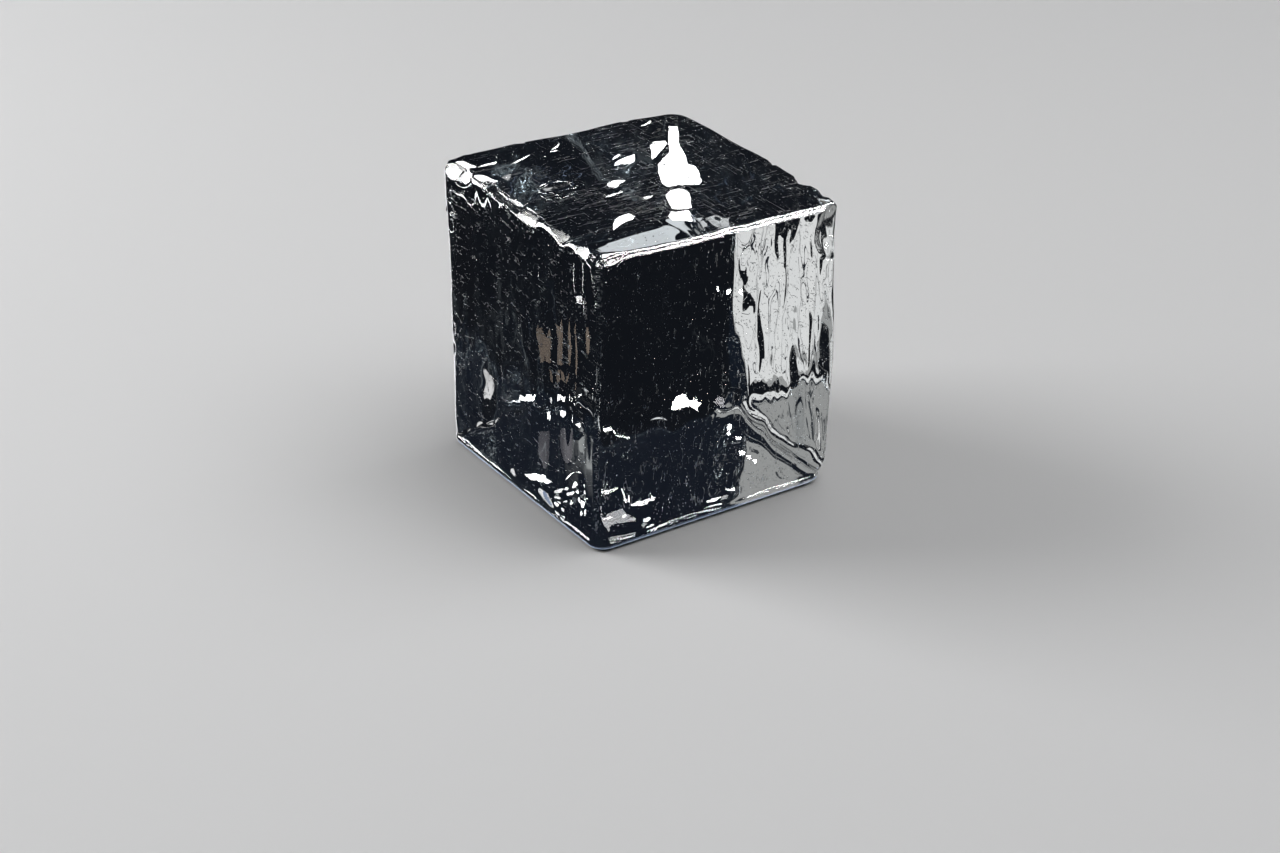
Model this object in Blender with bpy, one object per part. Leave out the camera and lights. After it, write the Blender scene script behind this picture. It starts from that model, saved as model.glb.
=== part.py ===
"""A block of clear ice, sawn by hand and rounded by melting, at its real size in metres.

It stands on its flat base at z = 0, with the origin at the middle of the base. The -Y and -X walls are
the ones that show, and +Z is up. The top was sawn last, so its edges are crisp and chipped, while the
foot has melted round.
"""

import math

import bmesh
import bpy
import numpy as np
from mathutils import Euler, Matrix, Vector

MM = 0.001

# Driving dimensions
WIDTH = 45.6 * MM  # along X
DEPTH = 46.8 * MM  # along Y
HEIGHT = 50.0 * MM

# How far the saw ran off square at each corner, as (x side, y side, z side): (x, y) shift
SAW_RUN = {
    (-1, -1, -1): (0.1 * MM, -0.2 * MM),
    (1, -1, -1): (0.4 * MM, 0.8 * MM),
    (-1, 1, -1): (-0.2 * MM, -0.8 * MM),
    (1, 1, -1): (0.2 * MM, 0.3 * MM),
    (-1, -1, 1): (0.1 * MM, 0.1 * MM),
    (1, -1, 1): (-0.7 * MM, -0.8 * MM),
    (-1, 1, 1): (0.2 * MM, 1.2 * MM),
    (1, 1, 1): (0.1 * MM, -0.3 * MM),
}

# Radius of each melted upright edge, as (x side, y side): (at the foot, above it)
UPRIGHT_RADIUS = {
    (-1, -1): (3.2 * MM, 1.2 * MM),
    (1, -1): (2.2 * MM, 1.5 * MM),
    (-1, 1): (2.8 * MM, 2.6 * MM),
    (1, 1): (3.0 * MM, 1.8 * MM),
}
FOOT_ROUND_HEIGHT = 7.0 * MM  # the upright edges grow rounder below this height
TOP_EDGE_RADIUS = 0.6 * MM
FOOT_EDGE_RADIUS = 1.2 * MM

# Broad swells that melting left on the four walls
SWELL_DEPTH = 0.2 * MM
SWELL_LENGTH = 13.0 * MM
SWELL_WAVES = 14
SWELL_SEED = 11
SWELL_STRETCH = (1.0, 1.0, 1.8)  # the swells run long up and down
SWELL_FADE = 5.0 * MM  # they die out over this height above the base

GRID_CELLS = 24  # along each edge of the block
EDGE_CROWDING = 0.9  # 0 spaces the grid evenly, near 1 crowds it towards the edges
CUTTER_DIVISIONS = 2
ICE_COLOUR = (0.86, 0.93, 0.97, 1.0)
ICE_ROUGHNESS = 0.04
ICE_IOR = 1.31

# Chips broken from the edges. Each is an ellipsoid: its middle and half sizes in millimetres, and its
# turn about X, Y and Z in degrees.
CHIPS_MM = {
    "front_right_scoop": ((20.6, -25.0, 45.0), (3.5, 1.9, 4.4), (0, 0, 6)),
    "front_right_tip": ((23.2, -25.3, 51.3), (3.3, 2.8, 2.5), (0, 0, 0)),
    "front_right_upper_nick": ((23.7, -24.9, 37.4), (2.2, 1.7, 2.6), (0, 0, 30)),
    "front_right_lower_nick": ((23.9, -24.8, 25.4), (2.2, 1.7, 3.4), (6, 0, 30)),
    "front_left_corner": ((-24.6, -24.2, 50.0), (3.1, 3.6, 5.2), (0, 0, 12)),
    "front_left_edge": ((-23.6, -24.3, 42.4), (2.1, 2.1, 4.0), (3, 3, 45)),
    "front_corner_side": ((-24.1, -18.4, 50.7), (2.5, 3.7, 3.8), (0, 10, 4)),
    "left_edge_near": ((-24.1, -12.0, 51.1), (2.8, 4.2, 3.1), (6, 12, 0)),
    "left_edge_middle": ((-24.4, -4.4, 51.3), (2.9, 6.6, 3.6), (-3, 8, 0)),
    "left_edge_far": ((-23.6, 5.2, 51.3), (5.2, 6.2, 2.9), (4, -14, 6)),
    "left_corner": ((-23.0, 15.4, 52.0), (7.2, 5.9, 3.1), (-3, -14, -10)),
    "back_left_edge": ((-12.6, 25.4, 51.0), (4.2, 2.0, 1.8), (12, 0, 3)),
    "back_edge": ((6.5, 24.8, 51.0), (3.6, 2.0, 1.8), (20, 0, 2)),
    "back_corner": ((24.3, 24.4, 51.2), (2.9, 2.9, 2.4), (0, 0, 45)),
    "right_edge_nick": ((22.9, -4.8, 51.0), (1.8, 1.6, 1.8), (0, 0, 0)),
    "right_edge_middle": ((23.5, -13.4, 51.2), (4.0, 3.4, 2.9), (5, 20, -6)),
    "right_edge_near": ((23.1, -19.7, 51.3), (3.3, 2.9, 2.6), (0, 16, 8)),
    "right_edge_far": ((23.9, 8.5, 51.1), (2.2, 4.2, 2.0), (0, 20, 4)),
    "back_foot": ((-9.0, 24.8, 0.0), (5.0, 2.4, 2.2), (0, 0, -5)),
    "right_foot": ((24.6, -6.5, 0.2), (2.4, 4.4, 2.3), (0, 0, 4)),
}


def smoothstep(low, high, x):
    """0 below low, 1 above high and a smooth rise between."""
    t = np.clip((x - low) / (high - low), 0.0, 1.0)
    return t * t * (3.0 - 2.0 * t)


def crowded(t):
    """Moves the grid lines at -1..1 towards both ends, where the edges curve."""
    return t + EDGE_CROWDING * np.sin(math.pi * t) / math.pi


def round_uprights(points, half):
    """Rounds the four upright edges: each square corner of the plan becomes a round one."""
    sides = np.sign(points[:, :2])
    foot, above = np.empty(len(points)), np.empty(len(points))
    for (side_x, side_y), radii in UPRIGHT_RADIUS.items():
        here = (sides[:, 0] * side_x >= 0) & (sides[:, 1] * side_y >= 0)
        foot[here], above[here] = radii
    rise = smoothstep(0.0, FOOT_ROUND_HEIGHT, points[:, 2] + half[2])
    radius = foot + (above - foot) * rise
    middle = np.clip(points[:, :2], -(half[:2] - radius[:, None]), half[:2] - radius[:, None])
    out = points[:, :2] - middle
    square = np.abs(out).max(axis=1)
    length = np.linalg.norm(out, axis=1)
    reach = np.where(length > 0.0, square / np.maximum(length, 1e-12), 1.0)
    rounded = points.copy()
    rounded[:, :2] = middle + out * reach[:, None]
    depth_in = radius - square  # how far inside the wall the point lies
    normal = out / np.maximum(length, 1e-12)[:, None]
    return rounded, depth_in, normal


def round_rims(points, depth_in, normal, half):
    """Rounds the edges round the top and round the foot, in the upright plane through each point."""
    upper = points[:, 2] > 0.0
    radius = np.where(upper, TOP_EDGE_RADIUS, FOOT_EDGE_RADIUS)
    outwards = np.maximum(radius - depth_in, 0.0)
    upwards = np.maximum(radius - (half[2] - np.abs(points[:, 2])), 0.0)
    square = np.maximum(outwards, upwards)
    length = np.maximum(np.hypot(outwards, upwards), 1e-12)
    reach = np.where(square > 0.0, square / length, 1.0)
    rounded = points.copy()
    rounded[:, :2] -= normal * (outwards * (1.0 - reach))[:, None]
    rounded[:, 2] -= np.where(upper, 1.0, -1.0) * upwards * (1.0 - reach)
    return rounded


def run_off_square(points, half):
    """Leans the walls as the saw cut them: each corner's shift spreads evenly through the block."""
    unit = points / half
    moved = points.copy()
    for corner, shift in SAW_RUN.items():
        share = np.prod((1.0 + unit * np.array(corner)) / 2.0, axis=1)
        moved[:, :2] += share[:, None] * np.array(shift)
    return moved


def waves(points, length, count, seed, stretch):
    """Smooth relief of about unit height: plane waves of random direction and phase, added up."""
    random = np.random.default_rng(seed)
    direction = random.normal(size=(count, 3))
    direction /= np.linalg.norm(direction, axis=1)[:, None]
    number = 2.0 * math.pi / (length * random.uniform(0.7, 1.5, count))
    phase = random.uniform(0.0, 2.0 * math.pi, count)
    angles = (points / np.array(stretch)) @ (direction * number[:, None]).T + phase
    return np.cos(angles).sum(axis=1) * math.sqrt(2.0 / count)


def swell(points, half):
    """Lets each wall bulge and dip. The middle of the block stays still, and so does its base."""
    moved = points.copy()
    above_base = smoothstep(0.0, SWELL_FADE, points[:, 2] + half[2])
    for axis in (0, 1):
        relief = waves(points, SWELL_LENGTH, SWELL_WAVES, SWELL_SEED + axis, SWELL_STRETCH)
        share = (points[:, axis] / half[axis]) ** 3
        moved[:, axis] += share * relief * above_base * SWELL_DEPTH
    return moved


def shape_of_block(unit):
    """The block's surface for points of a cube's surface from -1 to 1, with the base at z = 0."""
    half = np.array((WIDTH, DEPTH, HEIGHT)) / 2.0
    points, depth_in, normal = round_uprights(unit * half, half)
    points = round_rims(points, depth_in, normal, half)
    points = run_off_square(points, half)
    points = swell(points, half)
    return points + np.array((0.0, 0.0, half[2]))


def ice_material():
    material = bpy.data.materials.new("clear_ice")
    material.use_nodes = True
    surface = material.node_tree.nodes["Principled BSDF"]
    surface.inputs["Base Color"].default_value = ICE_COLOUR
    surface.inputs["Roughness"].default_value = ICE_ROUGHNESS
    surface.inputs["Metallic"].default_value = 0.0
    surface.inputs["IOR"].default_value = ICE_IOR
    surface.inputs["Transmission Weight"].default_value = 1.0
    return material


def new_block():
    """The whole block before it chipped: a gridded cube, shaped point by point."""
    grid = bmesh.new()
    bmesh.ops.create_cube(grid, size=2.0)
    bmesh.ops.subdivide_edges(grid, edges=grid.edges, cuts=GRID_CELLS - 1, use_grid_fill=True)
    unit = crowded(np.array([vertex.co for vertex in grid.verts]))
    for vertex, place in zip(grid.verts, shape_of_block(unit)):
        vertex.co = place
    mesh = bpy.data.meshes.new("ice_block")
    grid.to_mesh(mesh)
    grid.free()
    mesh.shade_smooth()
    block = bpy.data.objects.new("ice_block", mesh)
    mesh.materials.append(ice_material())
    bpy.context.scene.collection.objects.link(block)
    return block


def new_chip_cutter(name, middle, half_sizes, turn, collection):
    """An ellipsoid that takes one shell-shaped chip away."""
    ball = bmesh.new()
    bmesh.ops.create_icosphere(ball, subdivisions=CUTTER_DIVISIONS, radius=1.0)
    place = Matrix.LocRotScale(
        Vector(middle) * MM,
        Euler([math.radians(angle) for angle in turn]),
        Vector(half_sizes) * MM,
    )
    bmesh.ops.transform(ball, matrix=place, verts=ball.verts)
    mesh = bpy.data.meshes.new(name)
    ball.to_mesh(mesh)
    ball.free()
    cutter = bpy.data.objects.new(name, mesh)
    cutter.hide_render = True
    cutter.display_type = "WIRE"
    collection.objects.link(cutter)


def chip(block):
    """Breaks the chips out of the block's edges."""
    cutters = bpy.data.collections.new("chip_cutters")
    bpy.context.scene.collection.children.link(cutters)
    for name, (middle, half_sizes, turn) in CHIPS_MM.items():
        new_chip_cutter(f"chip_{name}", middle, half_sizes, turn, cutters)
    cut = block.modifiers.new("chips", "BOOLEAN")
    cut.operation = "DIFFERENCE"
    cut.solver = "EXACT"
    cut.operand_type = "COLLECTION"
    cut.collection = cutters


def main():
    for old in list(bpy.data.objects):
        bpy.data.objects.remove(old)
    chip(new_block())


main()
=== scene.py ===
"""Dresses the ice block: a hand-sawn block of clear ice with chipped edges and melted walls.

The block is one surface of numpy points on a gridded cube. The grid is shaped in steps: sawn walls that run
a little off square, melted edges, broad swells, fine melt rills, and chips struck from the edges. Small
bubbles are sealed in it. Metres, +Z up.
"""

from __future__ import annotations

import logging
import math
from dataclasses import dataclass, field, replace
from enum import Enum, Flag, auto

import bpy
import numpy as np
from mathutils import Euler, Matrix, Vector

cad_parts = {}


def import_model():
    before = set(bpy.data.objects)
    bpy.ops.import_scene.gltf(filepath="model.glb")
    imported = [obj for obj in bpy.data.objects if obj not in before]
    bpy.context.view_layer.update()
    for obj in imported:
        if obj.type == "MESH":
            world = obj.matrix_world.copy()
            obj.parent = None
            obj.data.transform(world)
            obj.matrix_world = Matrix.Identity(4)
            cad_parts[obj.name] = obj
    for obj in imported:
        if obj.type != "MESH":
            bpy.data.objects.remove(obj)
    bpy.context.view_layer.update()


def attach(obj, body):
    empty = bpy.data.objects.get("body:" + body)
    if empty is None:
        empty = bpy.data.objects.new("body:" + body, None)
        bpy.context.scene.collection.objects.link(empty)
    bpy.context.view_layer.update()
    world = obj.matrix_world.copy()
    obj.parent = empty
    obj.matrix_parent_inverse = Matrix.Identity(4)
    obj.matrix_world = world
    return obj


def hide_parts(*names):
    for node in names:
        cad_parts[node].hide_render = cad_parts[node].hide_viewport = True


LOG = logging.getLogger("ice_block")
MM = 0.001
TINY = 1e-12
SIDE_UV = "saw_run"
SIDE_SHIFT = 137.0
Array = np.ndarray


class Axis(Enum):
    """The row frame's axes, as columns of a point array."""

    X = 0
    Y = 1
    Z = 2


class Side(Enum):
    """A side of the block that has dents, as its axis and which end of that axis it is at."""

    LEFT = (0, -1)
    FRONT = (1, -1)
    TOP = (2, 1)


def smoothstep(low: float, high: float, x: Array) -> Array:
    """0 below low, 1 above high, and 3t^2 - 2t^3 between, where t is x's share of the way."""
    t = np.clip((x - low) / (high - low), 0.0, 1.0)
    return t * t * (3.0 - 2.0 * t)


@dataclass(frozen=True)
class Waves:
    """Smooth random relief: a sum of plane waves of random direction, length and phase.

    Attributes:
        length: Mean wavelength in metres.
        count: How many waves are added.
        seed: Seed of the random draws.
        stretch: How many times longer the relief runs along X, Y and Z.
        lengths: Shortest and longest wave, as shares of the mean.
    """

    length: float
    count: int
    seed: int
    stretch: tuple[float, float, float] = (1.0, 1.0, 1.0)
    lengths: tuple[float, float] = (0.7, 1.5)

    def height(self, points: Array, variant: int = 0) -> Array:
        """The relief at each point, of about unit size: sqrt(2 / count) * sum of cos(k . p + phase).

        Args:
            points: Points, one a row.
            variant: Added to the seed, for a second relief of the same kind.

        Returns:
            One number a point, with a mean near 0.
        """
        random = np.random.default_rng(self.seed + variant)
        direction = random.normal(size=(self.count, 3))
        direction /= np.linalg.norm(direction, axis=1)[:, None]
        number = 2.0 * math.pi / (self.length * random.uniform(*self.lengths, self.count))
        phase = random.uniform(0.0, 2.0 * math.pi, self.count)
        angles = (points / np.array(self.stretch)) @ (direction * number[:, None]).T + phase
        return np.cos(angles).sum(axis=1) * math.sqrt(2.0 / self.count)


@dataclass(frozen=True)
class Chip:
    """A shell-shaped break: the block's surface is pushed in to an ellipsoid's.

    Attributes:
        middle: The ellipsoid's middle in millimetres, outside the block.
        half_sizes: Its half sizes in millimetres.
        turn: Its turn about X, Y and Z in degrees.
        ripple: Depth of the rings on the break, as a share of the ellipsoid's size.
        rings: How many rings fit between the ellipsoid's middle and its rim.
        blow: Where on the ellipsoid the blow fell, which the rings run round.
        ring_rise: How steeply the rings rise from the break's rim.
    """

    middle: tuple[float, float, float]
    half_sizes: tuple[float, float, float]
    turn: tuple[float, float, float]
    ripple: float = 0.012
    rings: float = 9.0
    blow: tuple[float, float, float] = (0.35, -0.75, 0.55)
    ring_rise: float = 4.0

    @classmethod
    def facet(cls, place: tuple, outwards: tuple, half_sizes: tuple, **marks: object) -> Chip:
        """A wide shallow chip that leaves a nearly flat facet.

        Args:
            place: The facet's middle in millimetres.
            outwards: The way that it faces.
            half_sizes: The ellipsoid's half sizes along the facet, across it and square to it.
            marks: The chip's ripple, rings and blow.

        Returns:
            The chip.
        """
        normal = Vector(outwards).normalized()
        turn = tuple(math.degrees(a) for a in normal.to_track_quat("Z", "Y").to_euler())
        return cls(tuple(Vector(place) + normal * half_sizes[2]), half_sizes, turn, **marks)

    def strike(self, points: Array) -> Array:
        """Moves every point inside the ellipsoid straight away from its middle, out to its surface.

        In the ellipsoid's own frame, where it is a unit ball, a point at distance s from the middle goes to
        distance 1, less a ring pattern that is 0 at the rim, where angle is measured from the blow:
        ripple * min(1, ring_rise * (1 - s)) * (1 - cos(2 * rings * angle)).

        Args:
            points: The surface's points, one a row.

        Returns:
            The moved points.
        """
        turned = np.array(Euler([math.radians(a) for a in self.turn]).to_matrix())
        sizes = np.array(self.half_sizes) * MM
        middle = np.array(self.middle) * MM
        local = (points - middle) @ turned / sizes
        reach = np.linalg.norm(local, axis=1)
        inside = reach < 1.0
        if not inside.any():
            return points
        s = np.maximum(reach[inside], TINY)
        unit = local[inside] / s[:, None]
        blow = np.array(self.blow) / np.linalg.norm(self.blow)
        swing = np.arccos(np.clip(unit @ blow, -1.0, 1.0))
        rings = 1.0 - np.cos(self.rings * 2.0 * swing)
        stretch = 1.0 - self.ripple * np.minimum(1.0, self.ring_rise * (1.0 - s)) * rings
        moved = points.copy()
        moved[inside] = middle + (unit * stretch[:, None] * sizes) @ turned.T
        return moved


@dataclass
class SawnForm:
    """The block's form: sawn walls, melted edges and swells.

    Attributes:
        width: Size along X in metres.
        depth: Size along Y in metres.
        height: Size along Z in metres.
        saw_run: Corner (x, y, z side) to how far, in millimetres, the saw ran off square there in X and Y.
        upright_radius: Upright edge (x, y side) to its radius in millimetres (at the foot, above it).
        foot_round_height: Height in metres below which the upright edges grow rounder.
        top_edge_radius: Radius in metres of the edge round the top.
        front_edge_extra: How much more in metres it is along the front.
        foot_edge_radius: Radius in metres of the edge round the foot.
        right_foot_radius: Radius in metres that the foot wore to on the right.
        worn_corners: Corner (x, y, z side) to the radius it wore to and how far along its edges that
            reaches, in millimetres.
        swell: Relief of the walls' broad swells.
        swell_depth: Size of the swells in metres.
        swell_fade: Height in metres above the base over which the swells die out.
        lip_height: Height in metres of the low lip that runs round the foot.
        lip_depth: How far in metres the walls stand back above it.
        lip_rise: Over what height in metres they step back.
    """

    width: float = 45.6 * MM
    depth: float = 46.8 * MM
    height: float = 50.0 * MM
    saw_run: dict = field(
        default_factory=lambda: {
            (-1, -1, -1): (0.1, -0.2),
            (1, -1, -1): (0.4, 0.8),
            (-1, 1, -1): (-0.2, -0.8),
            (1, 1, -1): (0.2, 0.3),
            (-1, -1, 1): (0.1, 0.1),
            (1, -1, 1): (-0.7, -0.8),
            (-1, 1, 1): (0.2, 1.2),
            (1, 1, 1): (0.1, -0.3),
        }
    )
    upright_radius: dict = field(
        default_factory=lambda: {
            (-1, -1): (3.2, 1.2),
            (1, -1): (2.2, 1.5),
            (-1, 1): (2.8, 2.6),
            (1, 1): (3.2, 3.4),
        }
    )
    foot_round_height: float = 7.0 * MM
    top_edge_radius: float = 0.6 * MM
    front_edge_extra: float = 0.35 * MM
    foot_edge_radius: float = 1.2 * MM
    right_foot_radius: float = 4.2 * MM
    worn_corners: dict = field(
        default_factory=lambda: {
            (-1, -1, 1): (2.4, 4.5),
            (-1, 1, 1): (1.8, 4.0),
            (1, -1, 1): (1.6, 3.5),
        }
    )
    swell: Waves = Waves(13.0 * MM, 14, 11, (1.0, 1.0, 1.8))
    swell_depth: float = 0.2 * MM
    swell_fade: float = 5.0 * MM
    lip_height: float = 1.4 * MM
    lip_depth: float = 0.2 * MM
    lip_rise: float = 1.0 * MM

    @property
    def half(self) -> Array:
        """Half the block's sizes."""
        return np.array((self.width, self.depth, self.height)) / 2.0

    def surface(self, unit: Array) -> Array:
        """Shapes the block in steps: edges, worn places, walls off square, and swells.

        Args:
            unit: Points of a cube's surface from -1 to 1.

        Returns:
            The block's points, centred on the origin.
        """
        points, depth_in, normal = self._round_uprights(unit * self.half)
        points = self._round_rims(points, depth_in, normal)
        points = self._wear_right_foot(points)
        for corner, (radius, reach) in self.worn_corners.items():
            points = self._wear_corner(points, np.array(corner), radius * MM, reach * MM)
        points = self._run_off_square(points)
        return self._swell(points)

    def _round_uprights(self, points: Array) -> tuple[Array, Array, Array]:
        """Rounds the upright edges: each square corner of the plan is mapped to a round one.

        Within a radius of the corner, a point at offset o from the arc's middle moves to o * max|o| / |o|.

        Args:
            points: Points on the square block's surface.

        Returns:
            The moved points, how far each lies inside the wall, and its outward direction in the plan.
        """
        half = self.half
        sides = np.sign(points[:, :2])
        foot, above = np.empty(len(points)), np.empty(len(points))
        for (side_x, side_y), radii in self.upright_radius.items():
            here = (sides[:, 0] * side_x >= 0) & (sides[:, 1] * side_y >= 0)
            foot[here], above[here] = np.array(radii) * MM
        rise = smoothstep(0.0, self.foot_round_height, points[:, 2] + half[2])
        radius = foot + (above - foot) * rise
        inner = half[:2] - radius[:, None]
        middle = np.clip(points[:, :2], -inner, inner)
        out = points[:, :2] - middle
        square = np.abs(out).max(axis=1)
        length = np.linalg.norm(out, axis=1)
        reach = np.where(length > 0.0, square / np.maximum(length, TINY), 1.0)
        rounded = points.copy()
        rounded[:, :2] = middle + out * reach[:, None]
        return rounded, radius - square, out / np.maximum(length, TINY)[:, None]

    def _round_rims(self, points: Array, depth_in: Array, normal: Array) -> Array:
        """Rounds the edges of the top and the foot in the upright plane through each point.

        Args:
            points: Points with the upright edges round already.
            depth_in: How far each point lies inside the wall.
            normal: Its outward direction in the plan.

        Returns:
            The moved points.
        """
        upper = points[:, 2] > 0.0
        top_radius = self.top_edge_radius + self.front_edge_extra * np.maximum(-normal[:, 1], 0.0)
        radius = np.where(upper, top_radius, self.foot_edge_radius)
        outwards = np.maximum(radius - depth_in, 0.0)
        upwards = np.maximum(radius - (self.half[2] - np.abs(points[:, 2])), 0.0)
        square = np.maximum(outwards, upwards)
        length = np.maximum(np.hypot(outwards, upwards), TINY)
        reach = np.where(square > 0.0, square / length, 1.0)
        rounded = points.copy()
        rounded[:, :2] -= normal * (outwards * (1.0 - reach))[:, None]
        rounded[:, 2] -= np.where(upper, 1.0, -1.0) * upwards * (1.0 - reach)
        return rounded

    def _wear_right_foot(self, points: Array) -> Array:
        """Rounds the foot on the right further.

        Beyond the arc's middle, a point at offset o from it moves to o * max|o| / |o|.

        Args:
            points: The block's points.

        Returns:
            The moved points.
        """
        inner = self.half[[0, 2]] - self.right_foot_radius
        out = np.maximum(points[:, [0, 2]] * (1, -1) - inner, 0.0)
        reach = out.max(axis=1) / np.maximum(np.linalg.norm(out, axis=1), TINY)
        moved = points.copy()
        moved[:, [0, 2]] -= out * (1.0 - reach)[:, None] * (1, -1)
        return moved

    def _wear_corner(self, points: Array, corner: Array, radius: float, reach: float) -> Array:
        """Rounds one corner to a ball. The radius falls off away from the corner.

        Beyond the ball's middle, a point at offset o from it moves to o * max|o| / |o|.

        Args:
            points: The block's points.
            corner: The corner's sides.
            radius: The ball's radius.
            reach: How far along the edges it reaches.

        Returns:
            The moved points.
        """
        away = np.linalg.norm(points - corner * self.half, axis=1)
        local_radius = radius * (1.0 - smoothstep(radius, radius + reach, away))
        out = np.maximum(points * corner - (self.half - local_radius[:, None]), 0.0)
        share = out.max(axis=1) / np.maximum(np.linalg.norm(out, axis=1), TINY)
        return points - corner * out * (1.0 - share)[:, None]

    def _run_off_square(self, points: Array) -> Array:
        """Leans the walls: each corner's shift spreads through the block by the product of (1 + u) / 2.

        Args:
            points: The block's points. Each u is a coordinate's share of the way to the corner's side.

        Returns:
            The moved points.
        """
        unit = points / self.half
        moved = points.copy()
        for corner, shift in self.saw_run.items():
            share = np.prod((1.0 + unit * np.array(corner)) / 2.0, axis=1)
            moved[:, :2] += share[:, None] * np.array(shift) * MM
        return moved

    def _swell(self, points: Array) -> Array:
        """Bulges the walls by the swell's height times the cube of the way out, and sets them back.

        Args:
            points: The block's points.

        Returns:
            The moved points.
        """
        moved = points.copy()
        above_base = smoothstep(0.0, self.swell_fade, points[:, 2] + self.half[2])
        for axis in (Axis.X.value, Axis.Y.value):
            relief = self.swell.height(points, axis)
            share = (points[:, axis] / self.half[axis]) ** 3
            moved[:, axis] += share * relief * above_base * self.swell_depth
            moved[:, axis] -= np.minimum(share, 0.0) * self._lip(points[:, 2] + self.half[2])
        return moved

    def _lip(self, above_base: Array) -> Array:
        """How far the left and front walls stand back above the lip.

        The step is depth * (1 - r^2), where r is the share of the rise that is left. Above it the depth
        dies away with the swells' fade.

        Args:
            above_base: Height of each point above the base in metres.

        Returns:
            The depth at each point.
        """
        left_to_rise = 1.0 - np.clip((above_base - self.lip_height) / self.lip_rise, 0.0, 1.0)
        step = 1.0 - left_to_rise**2
        return self.lip_depth * step * (1.0 - smoothstep(self.lip_height, self.swell_fade, above_base))


@dataclass(frozen=True)
class MeltRelief:
    """Fine relief that melting cut into the walls, the top and the base. It only goes inwards.

    Attributes:
        rills: Relief of the upright rills on the walls.
        rill_depth: Their depth in metres.
        far_share: Share of it on the right and back walls.
        dimples: Relief of the shallow dimples between them.
        dimple_depth: Their depth in metres.
        pools: Relief of the wide, very shallow hollows of the top.
        pool_depth: Their depth in metres.
        foot_fade: Height in metres above the base below which the walls' relief dies away.
    """

    rills: Waves = Waves(4.6 * MM, 26, 31, (1.0, 1.0, 5.0))
    rill_depth: float = 0.06 * MM
    far_share: float = 0.4
    dimples: Waves = Waves(3.0 * MM, 30, 47, (1.0, 1.0, 1.3))
    dimple_depth: float = 0.012 * MM
    pools: Waves = Waves(7.5 * MM, 24, 53, (1.0, 1.0, 1.0))
    pool_depth: float = 0.008 * MM
    foot_fade: float = 6.0 * MM

    def carve(self, points: Array, half: Array) -> Array:
        """Moves each wall inwards by its relief, which is shifted so that its highest point stays put.

        The move is the relief times the fifth power of the way out from the middle.

        Args:
            points: The surface's points, centred on the origin.
            half: Half the block's sizes.

        Returns:
            The moved points.
        """
        moved = points.copy()
        for axis in Axis:
            share = np.clip(points[:, axis.value] / half[axis.value], -1.0, 1.0) ** 5
            if axis is Axis.Z:
                relief = self.pools.height(points) * self.pool_depth
                share = np.maximum(share, 0.0)
            else:
                sawn = np.where(points[:, axis.value] > 0.0, self.far_share, 1.0)
                relief = self.rills.height(points, axis.value) * self.rill_depth * sawn
                relief += self.dimples.height(points, axis.value) * self.dimple_depth
                relief *= smoothstep(0.0, self.foot_fade, points[:, 2] + half[2])
            moved[:, axis.value] += share * (relief - relief.max())
        return moved


@dataclass(frozen=True)
class Crumble:
    """A stretch of edge that crumbled: many small chips struck along it at random.

    Attributes:
        start: One end of the stretch in millimetres.
        end: The other end.
        count: How many chips.
        sizes: Smallest and largest half size in millimetres.
        outwards: The way out of the ice at the edge, along which the chips' middles lie.
        spread: How far out they may lie in millimetres.
        seed: Seed of the random draws.
        turn: How far a chip may be turned about each axis, in degrees.
        ripple: Depth of the chips' rings, as a share of their size.
        rings: How many rings each has.
    """

    start: tuple[float, float, float]
    end: tuple[float, float, float]
    count: int
    sizes: tuple[float, float]
    outwards: tuple[float, float, float]
    spread: tuple[float, float]
    seed: int
    turn: float = 60.0
    ripple: float = 0.03
    rings: float = 5.0

    def chips(self) -> list[Chip]:
        """The chips, each an ellipsoid with its own size and turn beside the edge.

        A half size is low * (high / low)^t, with t at random from 0 to 1.

        Returns:
            The chips, from the start to the end.
        """
        random = np.random.default_rng(self.seed)
        along = np.sort(random.uniform(0.0, 1.0, self.count))[:, None]
        middles = np.array(self.start) * (1.0 - along) + np.array(self.end) * along
        outwards = np.array(self.outwards) / np.linalg.norm(self.outwards)
        middles = middles + outwards * random.uniform(*self.spread, (self.count, 1))
        low, high = self.sizes
        halves = low * (high / low) ** random.uniform(0.0, 1.0, (self.count, 3))
        turns = random.uniform(-self.turn, self.turn, (self.count, 3))
        return [
            Chip(tuple(middle), tuple(sizes), tuple(turn), ripple=self.ripple, rings=self.rings)
            for middle, sizes, turn in zip(middles, halves, turns)
        ]


@dataclass(frozen=True)
class Dent:
    """A shallow smooth hollow that melting left in a side.

    Attributes:
        side: The side that it is in.
        middle: Its middle on that side in millimetres, as the place's other two coordinates in order.
        half_sizes: Its half sizes in millimetres.
        turn: Its turn on the side in degrees.
        depth: Its depth in millimetres.
        band: Shares of the way out from the block's middle between which its side begins.
    """

    side: Side
    middle: tuple[float, float]
    half_sizes: tuple[float, float]
    turn: float
    depth: float
    band: tuple[float, float] = (0.85, 0.95)

    def press(self, points: Array, half: Array) -> Array:
        """Moves the side inwards by depth * (1 - r^2)^2, where r is the distance in half sizes, up to 1.

        Args:
            points: The surface's points, centred on the origin, in metres.
            half: Half the block's sizes.

        Returns:
            The moved points.
        """
        axis, sign = self.side.value
        others = [a.value for a in Axis if a.value != axis]
        turn = math.radians(self.turn)
        axes = np.array(((math.cos(turn), math.sin(turn)), (-math.sin(turn), math.cos(turn))))
        local = (points[:, others] / MM - np.array(self.middle)) @ axes.T / np.array(self.half_sizes)
        inside = np.maximum(1.0 - (local**2).sum(axis=1), 0.0)
        on_side = smoothstep(*self.band, sign * points[:, axis] / half[axis])
        moved = points.copy()
        moved[:, axis] -= sign * on_side * inside**2 * self.depth * MM
        return moved


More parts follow.
